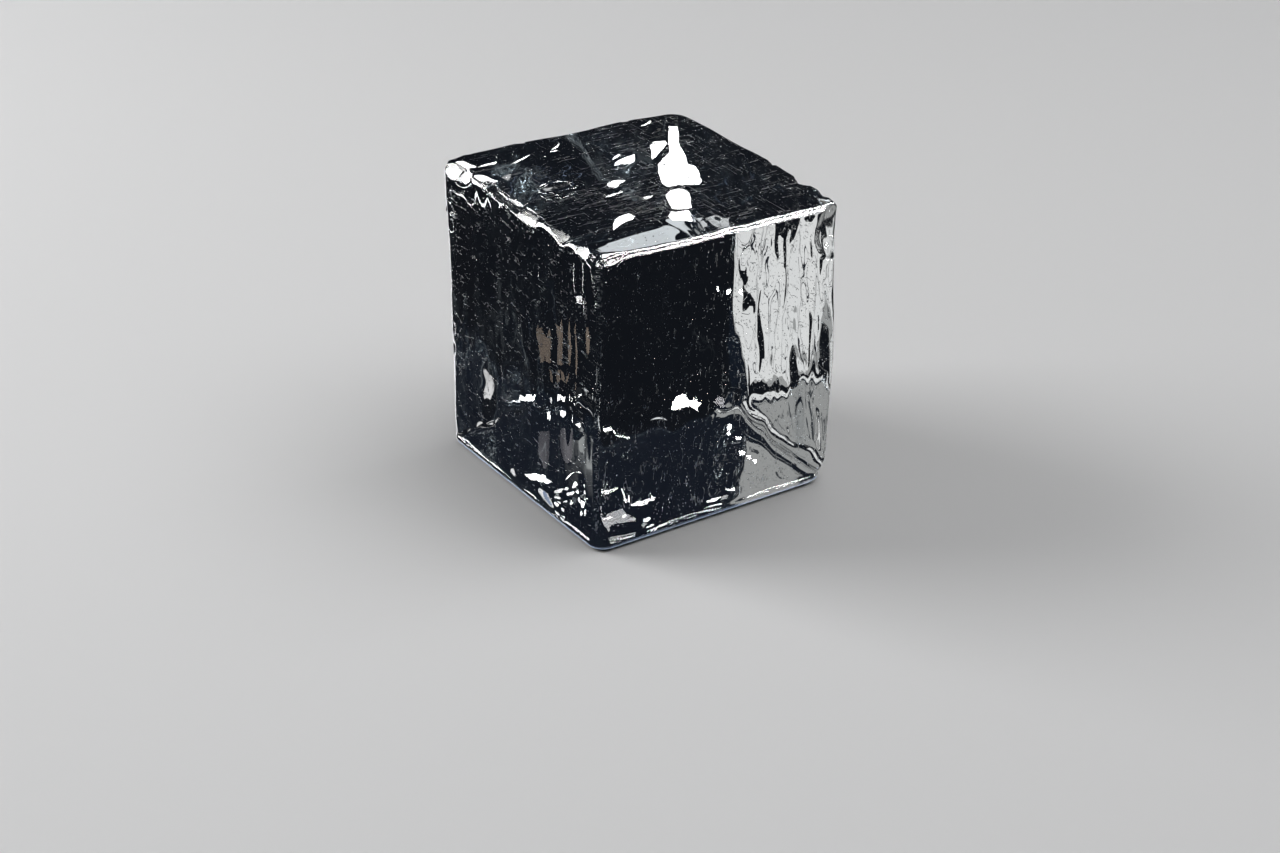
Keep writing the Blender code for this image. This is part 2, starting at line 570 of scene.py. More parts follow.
@dataclass(frozen=True)
class Bubbles:
    """A cloud of small round bubbles sealed in the ice.

    Attributes:
        start: One end of the line that the cloud follows, in millimetres.
        end: The other end.
        spread: How far the bubbles may stray from the line along X, Y and Z, in millimetres.
        count: How many bubbles.
        sizes: Smallest and largest radius in millimetres.
        seed: Seed of the random draws.
        cells: Grid cells along each edge of the cube that a bubble is blown up from.
    """

    start: tuple[float, float, float]
    end: tuple[float, float, float]
    spread: tuple[float, float, float]
    count: int
    sizes: tuple[float, float]
    seed: int
    cells: int = 2

    def surface(self) -> tuple[Array, Array]:
        """The bubbles' surfaces, each a gridded cube whose points are moved to distance 1, sized and placed.

        A radius is low * (high / low)^(t^2), with t at random from 0 to 1, so most are small.

        Returns:
            The points, and the faces, which face into the air that the bubbles hold.
        """
        random = np.random.default_rng(self.seed)
        cube, quads, _ = gridded_cube(self.cells, 0.0)
        ball = cube / np.linalg.norm(cube, axis=1)[:, None]
        along = random.uniform(0.0, 1.0, (self.count, 1))
        middles = np.array(self.start) * (1.0 - along) + np.array(self.end) * along
        middles = middles + random.uniform(-1.0, 1.0, (self.count, 3)) * np.array(self.spread)
        low, high = self.sizes
        radii = low * (high / low) ** random.uniform(0.0, 1.0, self.count) ** 2
        points = (middles[:, None, :] + ball[None] * radii[:, None, None]).reshape(-1, 3) * MM
        first = np.arange(self.count)[:, None, None] * len(ball)
        return points, (quads[None, :, ::-1] + first).reshape(-1, 4)


@dataclass(frozen=True)
class Scoring:
    """How thickly each kind of mark lies on each part of the block. Places are in millimetres.

    Attributes:
        side: Shares of the way out between which a side's own marks begin.
        clear_x: Range along X over which the top's front left part, clear of lines, ends.
        clear_y: Its range along Y.
        scratch_middle: Middle of the top's most scratched spot, along X and Y.
        scratch_size: Its half sizes.
        right_x: Range along X over which the top's lines grow thicker to the right.
        lines: The top's lines along the saw's run: everywhere, added on the right, added in that spot.
        cross: Its lines across the run: everywhere, added in that spot.
        low_z: Heights between which the walls' low part ends.
        window_x: Range along X over which the front wall's window part begins.
        calm_x: Range along X over which the front wall's calm corner at the foot ends.
        calm_z: Its range in height.
        foot_z: Heights between which the foot's band ends.
        end_hairs: Hairs on the left and right walls: everywhere, added when low.
        face_hairs: Hairs on the front and back walls: everywhere, added when low, added in the calm corner.
        hairs_lost: Share of the hairs missing at the back, in the window part and at the foot.
        pits: Pits everywhere, and what the left and right walls add.
    """

    side: tuple[float, float] = (0.96, 0.995)
    clear_x: tuple[float, float] = (-4.0, 0.0)
    clear_y: tuple[float, float] = (-19.0, -15.0)
    scratch_middle: tuple[float, float] = (-7.0, -6.0)
    scratch_size: tuple[float, float] = (9.0, 8.0)
    right_x: tuple[float, float] = (-8.0, 4.0)
    lines: tuple[float, float, float] = (0.78, 0.12, 0.12)
    cross: tuple[float, float] = (0.78, 0.42)
    low_z: tuple[float, float] = (14.0, 26.0)
    window_x: tuple[float, float] = (1.0, 5.0)
    calm_x: tuple[float, float] = (-14.0, -8.0)
    calm_z: tuple[float, float] = (4.0, 8.0)
    foot_z: tuple[float, float] = (2.5, 4.0)
    end_hairs: tuple[float, float] = (0.92, -0.08)
    face_hairs: tuple[float, float, float] = (0.83, 0.17, -0.4)
    hairs_lost: tuple[float, float, float] = (0.15, 0.1, 0.45)
    pits: tuple[float, float] = (1.0, -0.35)

    def masks(self, unit: Array, points: Array) -> dict[str, Array]:
        """The marks' densities: sums of smooth steps, and of exp(-r^2) round the scratched spot.

        Args:
            unit: The points on the cube from -1 to 1, which tell the sides apart.
            points: The block's points.

        Returns:
            Attribute name to its value at each point: the top's lines along the saw's run and across it,
            the walls' hairs, and the pits.
        """
        end, face, flat = (smoothstep(*self.side, np.abs(unit[:, axis.value])) for axis in Axis)
        x, y, z = (points / MM).T
        clear = (1.0 - smoothstep(*self.clear_x, x)) * (1.0 - smoothstep(*self.clear_y, y))
        top = flat * (unit[:, 2] > 0.0) * (1.0 - clear)
        away = (points[:, :2] / MM - self.scratch_middle) / self.scratch_size
        scratched = np.exp(-(away**2).sum(axis=1))
        low, foot = (1.0 - smoothstep(*band, z) for band in (self.low_z, self.foot_z))
        calm = (1.0 - smoothstep(*self.calm_x, x)) * (1.0 - smoothstep(*self.calm_z, z))
        lost = np.stack(((y > 0.0) * face, face * smoothstep(*self.window_x, x), foot), axis=1)
        one = np.ones(len(points))
        lines = np.stack((one, smoothstep(*self.right_x, x), scratched), axis=1)
        hairs = end * (np.stack((one, low), axis=1) @ self.end_hairs)
        hairs = hairs + face * (np.stack((one, low, calm), axis=1) @ self.face_hairs)
        return {
            "saw_lines": top * (lines @ self.lines),
            "cross_lines": top * (lines[:, ::2] @ self.cross),
            "wall_hairs": hairs * (1.0 - lost @ self.hairs_lost),
            "pits": np.stack((one, end), axis=1) @ self.pits,
        }


@dataclass
class IceBlock:
    """The whole block of ice.

    Attributes:
        form: Its sawn and melted form.
        relief: Its fine relief.
        dents: The smooth hollows in its sides.
        chips: The chips broken from its edges.
        crumbles: The stretches of edge that crumbled.
        bubbles: The bubbles inside.
        grit: Relief of the fresh breaks' grain.
        grit_depth: Its depth in metres.
        fresh_depth: How much must have broken off, in metres, for the surface to count as a fresh break.
        fresh_wipe: Share of the saw's and the melt's marks that a fresh break takes off.
        scoring: Where the marks lie.
        cells: Grid cells along each edge.
        crowding: 0 spaces the grid evenly, near 1 crowds it towards the edges.
    """

    form: SawnForm = field(default_factory=SawnForm)
    relief: MeltRelief = field(default_factory=MeltRelief)
    dents: dict = field(
        default_factory=lambda: {
            "near_hollow": Dent(Side.TOP, (-13.5, 3.0), (4.0, 2.6), 15, 0.12),
            "far_hollow": Dent(Side.TOP, (0.0, 16.0), (3.4, 2.4), 30, 0.12),
            "right_hollow": Dent(Side.TOP, (15.5, -9.0), (2.6, 3.6), 0, 0.08),
            "front_disc": Dent(Side.FRONT, (-3.6, -2.4), (1.1, 1.2), 0, 0.1),
            "front_groove": Dent(Side.FRONT, (12.1, 14.0), (0.9, 9.5), 2, 0.12),
            "front_short_groove": Dent(Side.FRONT, (6.7, 10.0), (0.7, 5.5), 0, 0.1),
            "left_spot": Dent(Side.LEFT, (-18.5, -3.4), (1.8, 1.1), -10, 0.35),
        }
    )
    chips: dict = field(
        default_factory=lambda: {
            "front_right_scoop": Chip(
                (20.8, -25.2, 45.2),
                (4.8, 3.0, 6.2),
                (0, 0, 8),
                ripple=0.03,
                rings=6.0,
                blow=(0.7, 0.5, 0.5),
            ),
            "front_right_tip": Chip((23.2, -25.3, 51.3), (3.3, 2.8, 2.5), (0, 0, 0)),
            "front_right_upper_nick": Chip((23.7, -24.9, 37.4), (2.2, 1.7, 2.6), (0, 0, 30)),
            "front_right_lower_nick": Chip((23.9, -24.8, 25.4), (2.2, 1.7, 3.4), (6, 0, 30)),
            "front_left_blister": Chip.facet(
                (-22.2, -18.4, 49.0),
                (-0.75, -0.1, 0.66),
                (1.7, 2.2, 0.8),
                ripple=0.01,
                rings=11.0,
                blow=(1, 0, 0.2),
            ),
            "front_left_knob": Chip.facet((-21.6, -22.4, 48.7), (-0.6, -0.6, 0.53), (2.2, 2.2, 1.0)),
            "front_left_edge": Chip((-23.6, -24.3, 42.4), (2.1, 2.1, 4.0), (3, 3, 45)),
            "left_edge_pale": Chip.facet((-22.1, -11.8, 49.1), (-0.6, -0.05, 0.8), (3.4, 3.8, 1.6)),
            "left_edge_bevel": Chip.facet(
                (-22.1, -3.6, 49.1),
                (-0.66, 0.0, 0.75),
                (3.0, 9.0, 1.6),
                ripple=0.008,
                rings=12.0,
                blow=(1, 0, 0),
            ),
            "left_edge_white": Chip.facet((-21.8, 1.6, 49.3), (-0.5, -0.08, 0.86), (3.2, 3.0, 2.4)),
            "left_edge_far": Chip.facet((-21.9, 6.4, 49.2), (-0.5, -0.12, 0.86), (3.4, 3.6, 2.4)),
            "left_corner_grey": Chip.facet((-22.0, 18.8, 49.1), (-0.7, 0.1, 0.7), (3.0, 4.5, 1.2)),
            "left_corner_low": Chip.facet((-22.5, 16.0, 48.2), (-0.85, 0.15, 0.5), (2.6, 3.4, 1.0)),
            "back_left_edge": Chip((-12.6, 25.4, 51.0), (4.2, 2.0, 1.8), (12, 0, 3)),
            "back_edge": Chip((6.5, 24.8, 51.0), (3.6, 2.0, 1.8), (20, 0, 2)),
            "back_corner": Chip((24.3, 24.4, 51.2), (2.9, 2.9, 2.4), (0, 0, 45)),
            "right_edge_nick": Chip((22.9, -4.8, 51.0), (1.8, 1.6, 1.8), (0, 0, 0)),
            "right_edge_middle": Chip((23.5, -13.4, 51.2), (4.0, 3.4, 2.9), (5, 20, -6)),
            "right_edge_near": Chip((23.1, -19.7, 51.3), (3.3, 2.9, 2.6), (0, 16, 8)),
            "right_edge_far": Chip((23.9, 8.5, 51.1), (2.2, 4.2, 2.0), (0, 20, 4)),
            "back_foot": Chip((-9.0, 24.8, 0.0), (5.0, 2.4, 2.2), (0, 0, -5)),
            "right_foot": Chip((24.6, -6.5, 0.2), (2.4, 4.4, 2.3), (0, 0, 4)),
        }
    )
    crumbles: dict = field(
        default_factory=lambda: {
            "left_edge": Crumble(
                (-22.4, -14.0, 49.4), (-22.1, 9.0, 49.4), 9, (0.3, 0.8), (-1, 0, 1), (0.2, 0.7), 3
            ),
            "left_corner": Crumble(
                (-21.6, 1.5, 49.5), (-21.2, 10.5, 49.7), 30, (0.5, 1.4), (-1, 0.3, 1), (0.2, 0.8), 4
            ),
            "front_left_upright": Crumble(
                (-22.7, -23.3, 47.0), (-22.7, -23.5, 30.0), 26, (0.4, 0.9), (-1, -1, 0), (0.0, 0.5), 5
            ),
            "front_right_upright": Crumble(
                (22.4, -24.1, 49.0), (22.9, -23.4, 12.0), 40, (0.4, 1.1), (1, -1, 0), (0.1, 0.5), 6
            ),
            "right_edge": Crumble(
                (22.5, -22.5, 50.0), (22.9, 4.0, 50.0), 44, (0.4, 1.1), (1, 0, 1), (0.1, 0.6), 7
            ),
            "back_left_upright": Crumble(
                (-22.2, 23.6, 47.5), (-22.6, 22.8, 8.0), 36, (0.5, 1.3), (-1, 1, 0), (-0.4, 0.2), 8
            ),
            "left_upright": Crumble(
                (-23.6, 20.8, 47.0), (-23.6, 21.8, 14.0), 46, (0.7, 1.7), (-1, 0.2, 0), (-0.2, 0.4), 12
            ),
            "back_edge": Crumble(
                (-20.0, 24.2, 50.0), (21.0, 23.4, 50.0), 40, (0.4, 1.0), (0, 1, 1), (0.1, 0.5), 9
            ),
            "foot": Crumble(
                (-21.5, -23.6, 0.0), (20.5, -22.8, 0.0), 10, (0.4, 0.8), (0, -1, -1), (0.0, 0.3), 10
            ),
        }
    )
    bubbles: tuple = (
        Bubbles((-15.7, -22.0, 39.8), (-8.6, -22.0, 31.0), (0.2, 0.8, 0.2), 34, (0.05, 0.15), 21),
        Bubbles((0.0, 0.0, 16.0), (0.0, 0.0, 16.0), (19.0, 19.0, 11.0), 150, (0.05, 0.18), 22),
        Bubbles((0.0, 0.0, 40.0), (0.0, 0.0, 40.0), (18.0, 18.0, 6.0), 90, (0.05, 0.14), 23),
    )
    grit: Waves = Waves(1.1 * MM, 60, 61)
    grit_depth: float = 0.006 * MM
    fresh_depth: float = 0.15 * MM
    fresh_wipe: float = 0.6
    scoring: Scoring = Scoring()
    cells: int = 120
    crowding: float = 0.74

    def build(self) -> bpy.types.Object:
        """Makes the block's mesh, bubbles and all.

        Returns:
            The block's object.
        """
        unit, faces, sides = gridded_cube(self.cells, self.crowding)
        points = self.form.surface(unit)
        points = self.relief.carve(points, self.form.half)
        for dent in self.dents.values():
            points = dent.press(points, self.form.half)
        points[:, 2] += self.form.half[2]
        sawn = points
        small = [chip for stretch in self.crumbles.values() for chip in stretch.chips()]
        for chip in [*self.chips.values(), *small]:
            points = chip.strike(points)
        points[:, 2] = np.clip(points[:, 2], 0.0, self.form.height)
        fresh = smoothstep(0.0, self.fresh_depth, np.linalg.norm(points - sawn, axis=1))
        points = self._roughen(points, fresh)
        uv = side_uv(sawn, faces, sides)
        scored = self.scoring.masks(unit, sawn)
        masks = {name: share * (1.0 - self.fresh_wipe * fresh) for name, share in scored.items()}
        masks["fresh_break"] = fresh
        return self._with_bubbles(points, faces, uv, masks)

    def _roughen(self, points: Array, fresh: Array) -> Array:
        """Presses the grain of a fresh break into it, towards the block's middle.

        Args:
            points: The surface's points.
            fresh: 1 on a fresh break, 0 off it.

        Returns:
            The moved points.
        """
        inwards = np.array((0.0, 0.0, self.form.half[2])) - points
        inwards /= np.linalg.norm(inwards, axis=1)[:, None]
        grain = self.grit.height(points)
        depth = (grain - grain.min()) * fresh * self.grit_depth
        return points + inwards * depth[:, None]

    def _with_bubbles(self, points: Array, faces: Array, uv: Array, masks: dict) -> bpy.types.Object:
        """Joins the bubbles' surfaces to the block's, in one mesh with the masks as attributes.

        Args:
            points: The block's points.
            faces: The block's faces.
            uv: The pattern coordinates of the block's face corners; they are 0 on the bubbles.
            masks: Attribute name to its value at each of the block's points; it is 0 on the bubbles.

        Returns:
            The block's object.
        """
        all_points, all_faces = [points], [faces]
        count = len(points)
        for cloud in self.bubbles:
            more_points, more_faces = cloud.surface()
            all_points.append(more_points)
            all_faces.append(more_faces + count)
            count += len(more_points)
        all_faces = np.concatenate(all_faces)
        block = new_object("clear_ice_block", np.concatenate(all_points), all_faces)
        corners = np.zeros((all_faces.size, 2), dtype=np.float32)
        corners[: len(uv)] = uv
        block.data.uv_layers.new(name=SIDE_UV).uv.foreach_set("vector", corners.ravel())
        for name, values in masks.items():
            padded = np.zeros(count, dtype=np.float32)
            padded[: len(values)] = values
            block.data.attributes.new(name, "FLOAT", "POINT").data.foreach_set("value", padded)
        return block


def gridded_cube(cells: int, crowding: float) -> tuple[Array, Array, Array]:
    """A cube's surface from -1 to 1 as a grid that crowds towards the edges.

    A grid line at t, from -1 to 1, is moved to t + crowding * sin(pi t) / pi.

    Args:
        cells: Grid cells along each edge.
        crowding: 0 spaces the grid evenly, near 1 crowds it towards the edges.

    Returns:
        The points, the faces as four point numbers each, facing out, and each face's side: twice its axis,
        plus 1 on the positive side.
    """
    steps = np.arange(cells + 1)
    number = np.full((cells + 1,) * 3, -1)
    i, j, k = np.meshgrid(steps, steps, steps, indexing="ij")
    outer = (np.minimum(np.minimum(i, j), k) == 0) | (np.maximum(np.maximum(i, j), k) == cells)
    number[outer] = np.arange(outer.sum())
    t = 2.0 * np.stack((i[outer], j[outer], k[outer]), axis=1) / cells - 1.0
    unit = t + crowding * np.sin(math.pi * t) / math.pi
    faces = []
    for axis in Axis:
        for place in (0, cells):
            sheet = np.take(number, place, axis=axis.value)
            quads = np.stack((sheet[:-1, :-1], sheet[1:, :-1], sheet[1:, 1:], sheet[:-1, 1:]), axis=-1)
            quads = quads.reshape(-1, 4)
            outwards = (place > 0) == (axis is not Axis.Y)
            faces.append(quads if outwards else quads[:, ::-1])
    return unit, np.concatenate(faces), np.repeat(np.arange(len(faces)), cells * cells)


def side_uv(points: Array, faces: Array, sides: Array) -> Array:
    """Pattern coordinates in millimetres: U along the way the saw ran on each side, V across it.

    The saw ran along Y on the end walls and the top, and upwards on the face walls. Each side's coordinates
    are shifted by its own amount, so that no two sides show the same pattern.

    Args:
        points: The block's points.
        faces: Its faces.
        sides: Each face's side.

    Returns:
        U and V for each face corner.
    """
    runs = np.array(((1, 2), (2, 0), (1, 0)))
    side = np.repeat(sides, 4)
    corner = points[faces.ravel()] / MM
    uv = np.take_along_axis(corner, runs[side // 2], axis=1)
    return uv + side[:, None] * SIDE_SHIFT


def new_object(name: str, points: Array, faces: Array) -> bpy.types.Object:
    """Makes a smooth-shaded mesh object from points and four-sided faces.

    Args:
        name: The object's name.
        points: Its points, one a row.
        faces: Four point numbers a row.

    Returns:
        The object, linked to the scene.
    """
    mesh = bpy.data.meshes.new(name)
    mesh.vertices.add(len(points))
    mesh.vertices.foreach_set("co", points.astype(np.float32).ravel())
    mesh.loops.add(faces.size)
    mesh.loops.foreach_set("vertex_index", faces.astype(np.int32).ravel())
    mesh.polygons.add(len(faces))
    mesh.polygons.foreach_set("loop_start", np.arange(0, faces.size, 4, dtype=np.int32))
    mesh.update(calc_edges=True)
    mesh.validate()
    mesh.shade_smooth()
    made = bpy.data.objects.new(name, mesh)
    bpy.context.scene.collection.objects.link(made)
    return made


class Nodes:
    """Adds nodes to a node tree and joins them up."""

    def __init__(self, tree: bpy.types.NodeTree) -> None:
        """Keeps the tree that the nodes go into."""
        self.tree = tree

    def add(self, kind: str, *inputs: object, **settings: object) -> bpy.types.Node:
        """Adds a node.

        Args:
            kind: The node's type.
            inputs: For each input in order, a socket to join it to, a value for it, or None to leave it.
            settings: The node's own settings.

        Returns:
            The node.
        """
        node = self.tree.nodes.new(kind)
        for name, value in settings.items():
            setattr(node, name, value)
        for socket, value in zip(node.inputs, inputs):
            self.feed(socket, value)
        return node

    def feed(self, socket: bpy.types.NodeSocket, value: object) -> None:
        """Joins an input to another node's output, or sets its value.

        Args:
            socket: The input.
            value: An output to join it to, a value for it, or None to leave it.
        """
        if isinstance(value, bpy.types.NodeSocket):
            self.tree.links.new(value, socket)
        elif value is not None:
            socket.default_value = value

    def feed_named(self, node: bpy.types.Node, **inputs: object) -> bpy.types.Node:
        """Feeds a node's inputs by their names.

        Args:
            node: The node.
            inputs: Input name, with _ for a space, to what it is fed.

        Returns:
            The node.
        """
        for name, value in inputs.items():
            self.feed(node.inputs[name.replace("_", " ")], value)
        return node

    def math(self, operation: str, *inputs: object) -> bpy.types.NodeSocket:
        """Adds a Math node and gives its result."""
        return self.add("ShaderNodeMath", *inputs, operation=operation).outputs[0]

    def vector(self, operation: str, *inputs: object) -> bpy.types.NodeSocket:
        """Adds a Vector Math node and gives its result."""
        return self.add("ShaderNodeVectorMath", *inputs, operation=operation).outputs[0]

    def fall(self, value: object, low: object, high: object) -> bpy.types.NodeSocket:
        """A mask that falls smoothly from 1 to 0.

        Args:
            value: What it follows.
            low: Where it is 1.
            high: Where it is 0.

        Returns:
            The mask.
        """
        node = self.add("ShaderNodeMapRange", interpolation_type="SMOOTHSTEP")
        self.feed_named(node, Value=value, From_Min=low, From_Max=high, To_Min=1.0, To_Max=0.0)
        return node.outputs["Result"]

    def attribute(self, name: str) -> bpy.types.NodeSocket:
        """The value of one of the mesh's attributes."""
        return self.add("ShaderNodeAttribute", attribute_name=name).outputs["Fac"]


def add_sockets(group: bpy.types.NodeTree, names: tuple[str, ...]) -> None:
    """Gives a node group a Vector input, number inputs, and the output Mask.

    Args:
        group: The group.
        names: The number inputs' names.
    """
    face = group.interface
    face.new_socket("Vector", in_out="INPUT", socket_type="NodeSocketVector")
    for name in names:
        face.new_socket(name, in_out="INPUT", socket_type="NodeSocketFloat")
    face.new_socket("Mask", in_out="OUTPUT", socket_type="NodeSocketFloat")


def pits_group() -> bpy.types.NodeTree:
    """Builds the group that scatters pits, one in some of the cells of a flat Voronoi pattern.

    A cell is Length by Width millimetres. The pit in it is 1 within Core of its Radius and falls to 0 at
    the Radius, both in cells. Density is the share of the cells that have a pit.

    Returns:
        The group.
    """
    group = bpy.data.node_groups.new("scattered_pits", "ShaderNodeTree")
    add_sockets(group, ("Length", "Width", "Radius", "Core", "Density"))
    nodes = Nodes(group)
    given = nodes.add("NodeGroupInput").outputs
    cell = nodes.add("ShaderNodeCombineXYZ", given["Length"], given["Width"], 1.0).outputs[0]
    scaled = nodes.vector("DIVIDE", given["Vector"], cell)
    cells = nodes.add("ShaderNodeTexVoronoi", voronoi_dimensions="2D")
    nodes.feed_named(cells, Vector=scaled, Scale=1.0)
    core = nodes.math("MULTIPLY", given["Radius"], given["Core"])
    mark = nodes.fall(cells.outputs["Distance"], core, given["Radius"])
    red = nodes.add("ShaderNodeSeparateColor", cells.outputs["Color"]).outputs[0]
    kept = nodes.math("LESS_THAN", red, given["Density"])
    nodes.add("NodeGroupOutput", nodes.math("MULTIPLY", mark, kept))
    return group


def hairs_group() -> bpy.types.NodeTree:
    """Builds the group that draws hair-thin wandering lines: the level lines of a stretched noise.

    The noise is Length by Width millimetres. It has Lines level lines for each unit of its height, Thin of
    the gap between them thick. They break off where a second noise is above Density.

    Returns:
        The group.
    """
    core, fade, detail, rough = 0.4, 0.04, 2.0, 0.6
    group = bpy.data.node_groups.new("hair_lines", "ShaderNodeTree")
    add_sockets(group, ("Length", "Width", "Lines", "Thin", "Density"))
    nodes = Nodes(group)
    given = nodes.add("NodeGroupInput").outputs
    cell = nodes.add("ShaderNodeCombineXYZ", given["Length"], given["Width"], 1.0).outputs[0]
    scaled = nodes.vector("DIVIDE", given["Vector"], cell)
    noise = nodes.add("ShaderNodeTexNoise", noise_dimensions="2D")
    nodes.feed_named(noise, Vector=scaled, Scale=1.0, Detail=detail, Roughness=rough)
    channels = nodes.add("ShaderNodeSeparateColor", noise.outputs["Color"]).outputs
    level = nodes.math("FRACT", nodes.math("MULTIPLY", channels[0], given["Lines"]))
    off = nodes.math("ABSOLUTE", nodes.math("SUBTRACT", level, 0.5))
    line = nodes.fall(off, nodes.math("MULTIPLY", given["Thin"], core), given["Thin"])
    kept = nodes.fall(channels[1], nodes.math("SUBTRACT", given["Density"], fade), given["Density"])
    nodes.add("NodeGroupOutput", nodes.math("MULTIPLY", line, kept))
    return group


@dataclass(frozen=True)
class Marks:
    """One set of marks on the ice.

    Attributes:
        group: The name of the node group that makes them.
        inputs: The group's number inputs, in order.
        place: The attribute that their Density is multiplied by, or nothing.
        depth: Depth of a mark, as a share of the material's mark depth.
        dull: Roughness of a mark.
    """

    group: str
    inputs: tuple
    place: str
    depth: float
    dull: float

    def mask(self, nodes: Nodes, vector: bpy.types.NodeSocket) -> bpy.types.NodeSocket:
        """The marks' mask on the surface.

        Args:
            nodes: The material's nodes.
            vector: The pattern coordinates in millimetres.

        Returns:
            The mask's socket.
        """
        marks = nodes.add("ShaderNodeGroup", node_tree=bpy.data.node_groups[self.group])
        for socket, value in zip(marks.inputs, (vector, *self.inputs)):
            nodes.feed(socket, value)
        if self.place:
            density = nodes.math("MULTIPLY", nodes.attribute(self.place), self.inputs[-1])
            nodes.feed(marks.inputs["Density"], density)
        return marks.outputs["Mask"]


@dataclass(frozen=True)
class ClearIce:
    """The ice's finish: clear and wet, scored by the saw, specked, and frosty where it broke.

    Attributes:
        ior: Its index of refraction.
        tint: The colour that it keeps over depth.
        tint_density: How strongly depth tints it, per metre.
        marks: The sets of marks scored into it.
        mark_depth: Depth of a mark in metres.
        grain_scale: How many grains of a fresh break there are to a millimetre.
        grain_detail: How many finer levels the grain has.
        grain_depth: Their depth, as a share of the mark depth.
        break_dull: Roughness of a fresh break.
    """

    ior: float = 1.31
    tint: tuple = (0.15, 0.6, 0.85, 1.0)
    tint_density: float = 3.0
    marks: tuple = (
        Marks("hair_lines", (14.0, 0.6, 4.0, 0.07, 0.47), "saw_lines", 0.5, 0.3),
        Marks("hair_lines", (0.7, 10.0, 5.0, 0.08, 0.54), "cross_lines", 0.5, 0.3),
        Marks("hair_lines", (3.2, 1.1, 3.0, 0.06, 0.46), "wall_hairs", 1.0, 0.35),
        Marks("scattered_pits", (0.9, 0.85, 0.12, 0.4, 0.22), "pits", 1.0, 0.35),
    )
    mark_depth: float = 0.05 * MM
    grain_scale: float = 0.8
    grain_detail: float = 2.0
    grain_depth: float = 0.08
    break_dull: float = 0.12

    def build(self) -> bpy.types.Material:
        """Makes the material.

        Returns:
            The material.
        """
        pits_group()
        hairs_group()
        material = bpy.data.materials.new("clear_ice")
        material.use_nodes = True
        tree = material.node_tree
        nodes = Nodes(tree)
        shader = tree.nodes["Principled BSDF"]
        shader.inputs["Base Color"].default_value = (1.0, 1.0, 1.0, 1.0)
        shader.inputs["Metallic"].default_value = 0.0
        shader.inputs["IOR"].default_value = self.ior
        shader.inputs["Transmission Weight"].default_value = 1.0
        roughness, height = self._surface(nodes)
        nodes.feed(shader.inputs["Roughness"], roughness)
        bump = nodes.add("ShaderNodeBump")
        nodes.feed_named(bump, Strength=1.0, Distance=self.mark_depth, Height=height)
        nodes.feed(shader.inputs["Normal"], bump.outputs["Normal"])
        depth = nodes.add("ShaderNodeVolumeAbsorption", self.tint, self.tint_density)
        nodes.feed(tree.nodes["Material Output"].inputs["Volume"], depth.outputs["Volume"])
        return material

    def _surface(self, nodes: Nodes) -> tuple[bpy.types.NodeSocket, bpy.types.NodeSocket]:
        """Works out the surface's roughness and its bump height, which falls by a mark's depth in the mark.

        The height is fresh * grain * grain_depth less the sum of mask * depth. The roughness is the largest
        of fresh * break_dull and each mask * dull.

        Args:
            nodes: The material's nodes.

        Returns:
            The roughness and the height.
        """
        place = nodes.add("ShaderNodeUVMap", uv_map=SIDE_UV).outputs["UV"]
        fresh = nodes.attribute("fresh_break")
        grain = nodes.add("ShaderNodeTexNoise", noise_dimensions="2D")
        nodes.feed_named(grain, Vector=place, Scale=self.grain_scale, Detail=self.grain_detail)
        grained = nodes.math("MULTIPLY", fresh, grain.outputs["Fac"])
        height = nodes.math("MULTIPLY", grained, self.grain_depth)
        roughness = nodes.math("MULTIPLY", fresh, self.break_dull)
        for marks in self.marks:
            mask = marks.mask(nodes, place)
            height = nodes.math("SUBTRACT", height, nodes.math("MULTIPLY", mask, marks.depth))
            roughness = nodes.math("MAXIMUM", roughness, nodes.math("MULTIPLY", mask, marks.dull))
        return roughness, height


class Sees(Flag):
    """Which kinds of ray can see a lamp or a stage piece."""

    DIFFUSE = auto()
    GLOSSY = auto()
    TRANSMISSION = auto()


def hide(made: bpy.types.Object, sees: Sees) -> None:
    """Hides a stage object from every kind of scattered ray but those given.

    Args:
        made: The object.
        sees: Which rays can still see it.
    """
    made.visible_diffuse = Sees.DIFFUSE in sees
    made.visible_glossy = Sees.GLOSSY in sees
    made.visible_transmission = Sees.TRANSMISSION in sees


@dataclass(frozen=True)
class Softbox:
    """A flat rectangular lamp that faces the block.

    Attributes:
        direction: From the point it aims at to the lamp.
        distance: How far off it stands in metres.
        size: Its width and height in metres.
        radiance: Its brightness.
        sees: Which rays can see it.
        aim: The point it faces, in metres.
    """

    direction: tuple[float, float, float]
    distance: float
    size: tuple[float, float]
    radiance: float
    sees: Sees
    aim: tuple[float, float, float] = (0.0, 0.0, 0.025)

    def build(self, name: str) -> None:
        """Makes the lamp. Its power is radiance * pi * width * height.

        Args:
            name: The lamp's name.
        """
        lamp = bpy.data.lights.new(name, "AREA")
        lamp.shape = "RECTANGLE"
        lamp.size, lamp.size_y = self.size
        lamp.energy = self.radiance * math.pi * lamp.size * lamp.size_y
        made = bpy.data.objects.new(name, lamp)
        outwards = Vector(self.direction).normalized()
        made.location = Vector(self.aim) + outwards * self.distance
        made.rotation_euler = (-outwards).to_track_quat("-Z", "Y").to_euler()
        hide(made, self.sees)
        made.visible_camera = False
        bpy.context.scene.collection.objects.link(made)


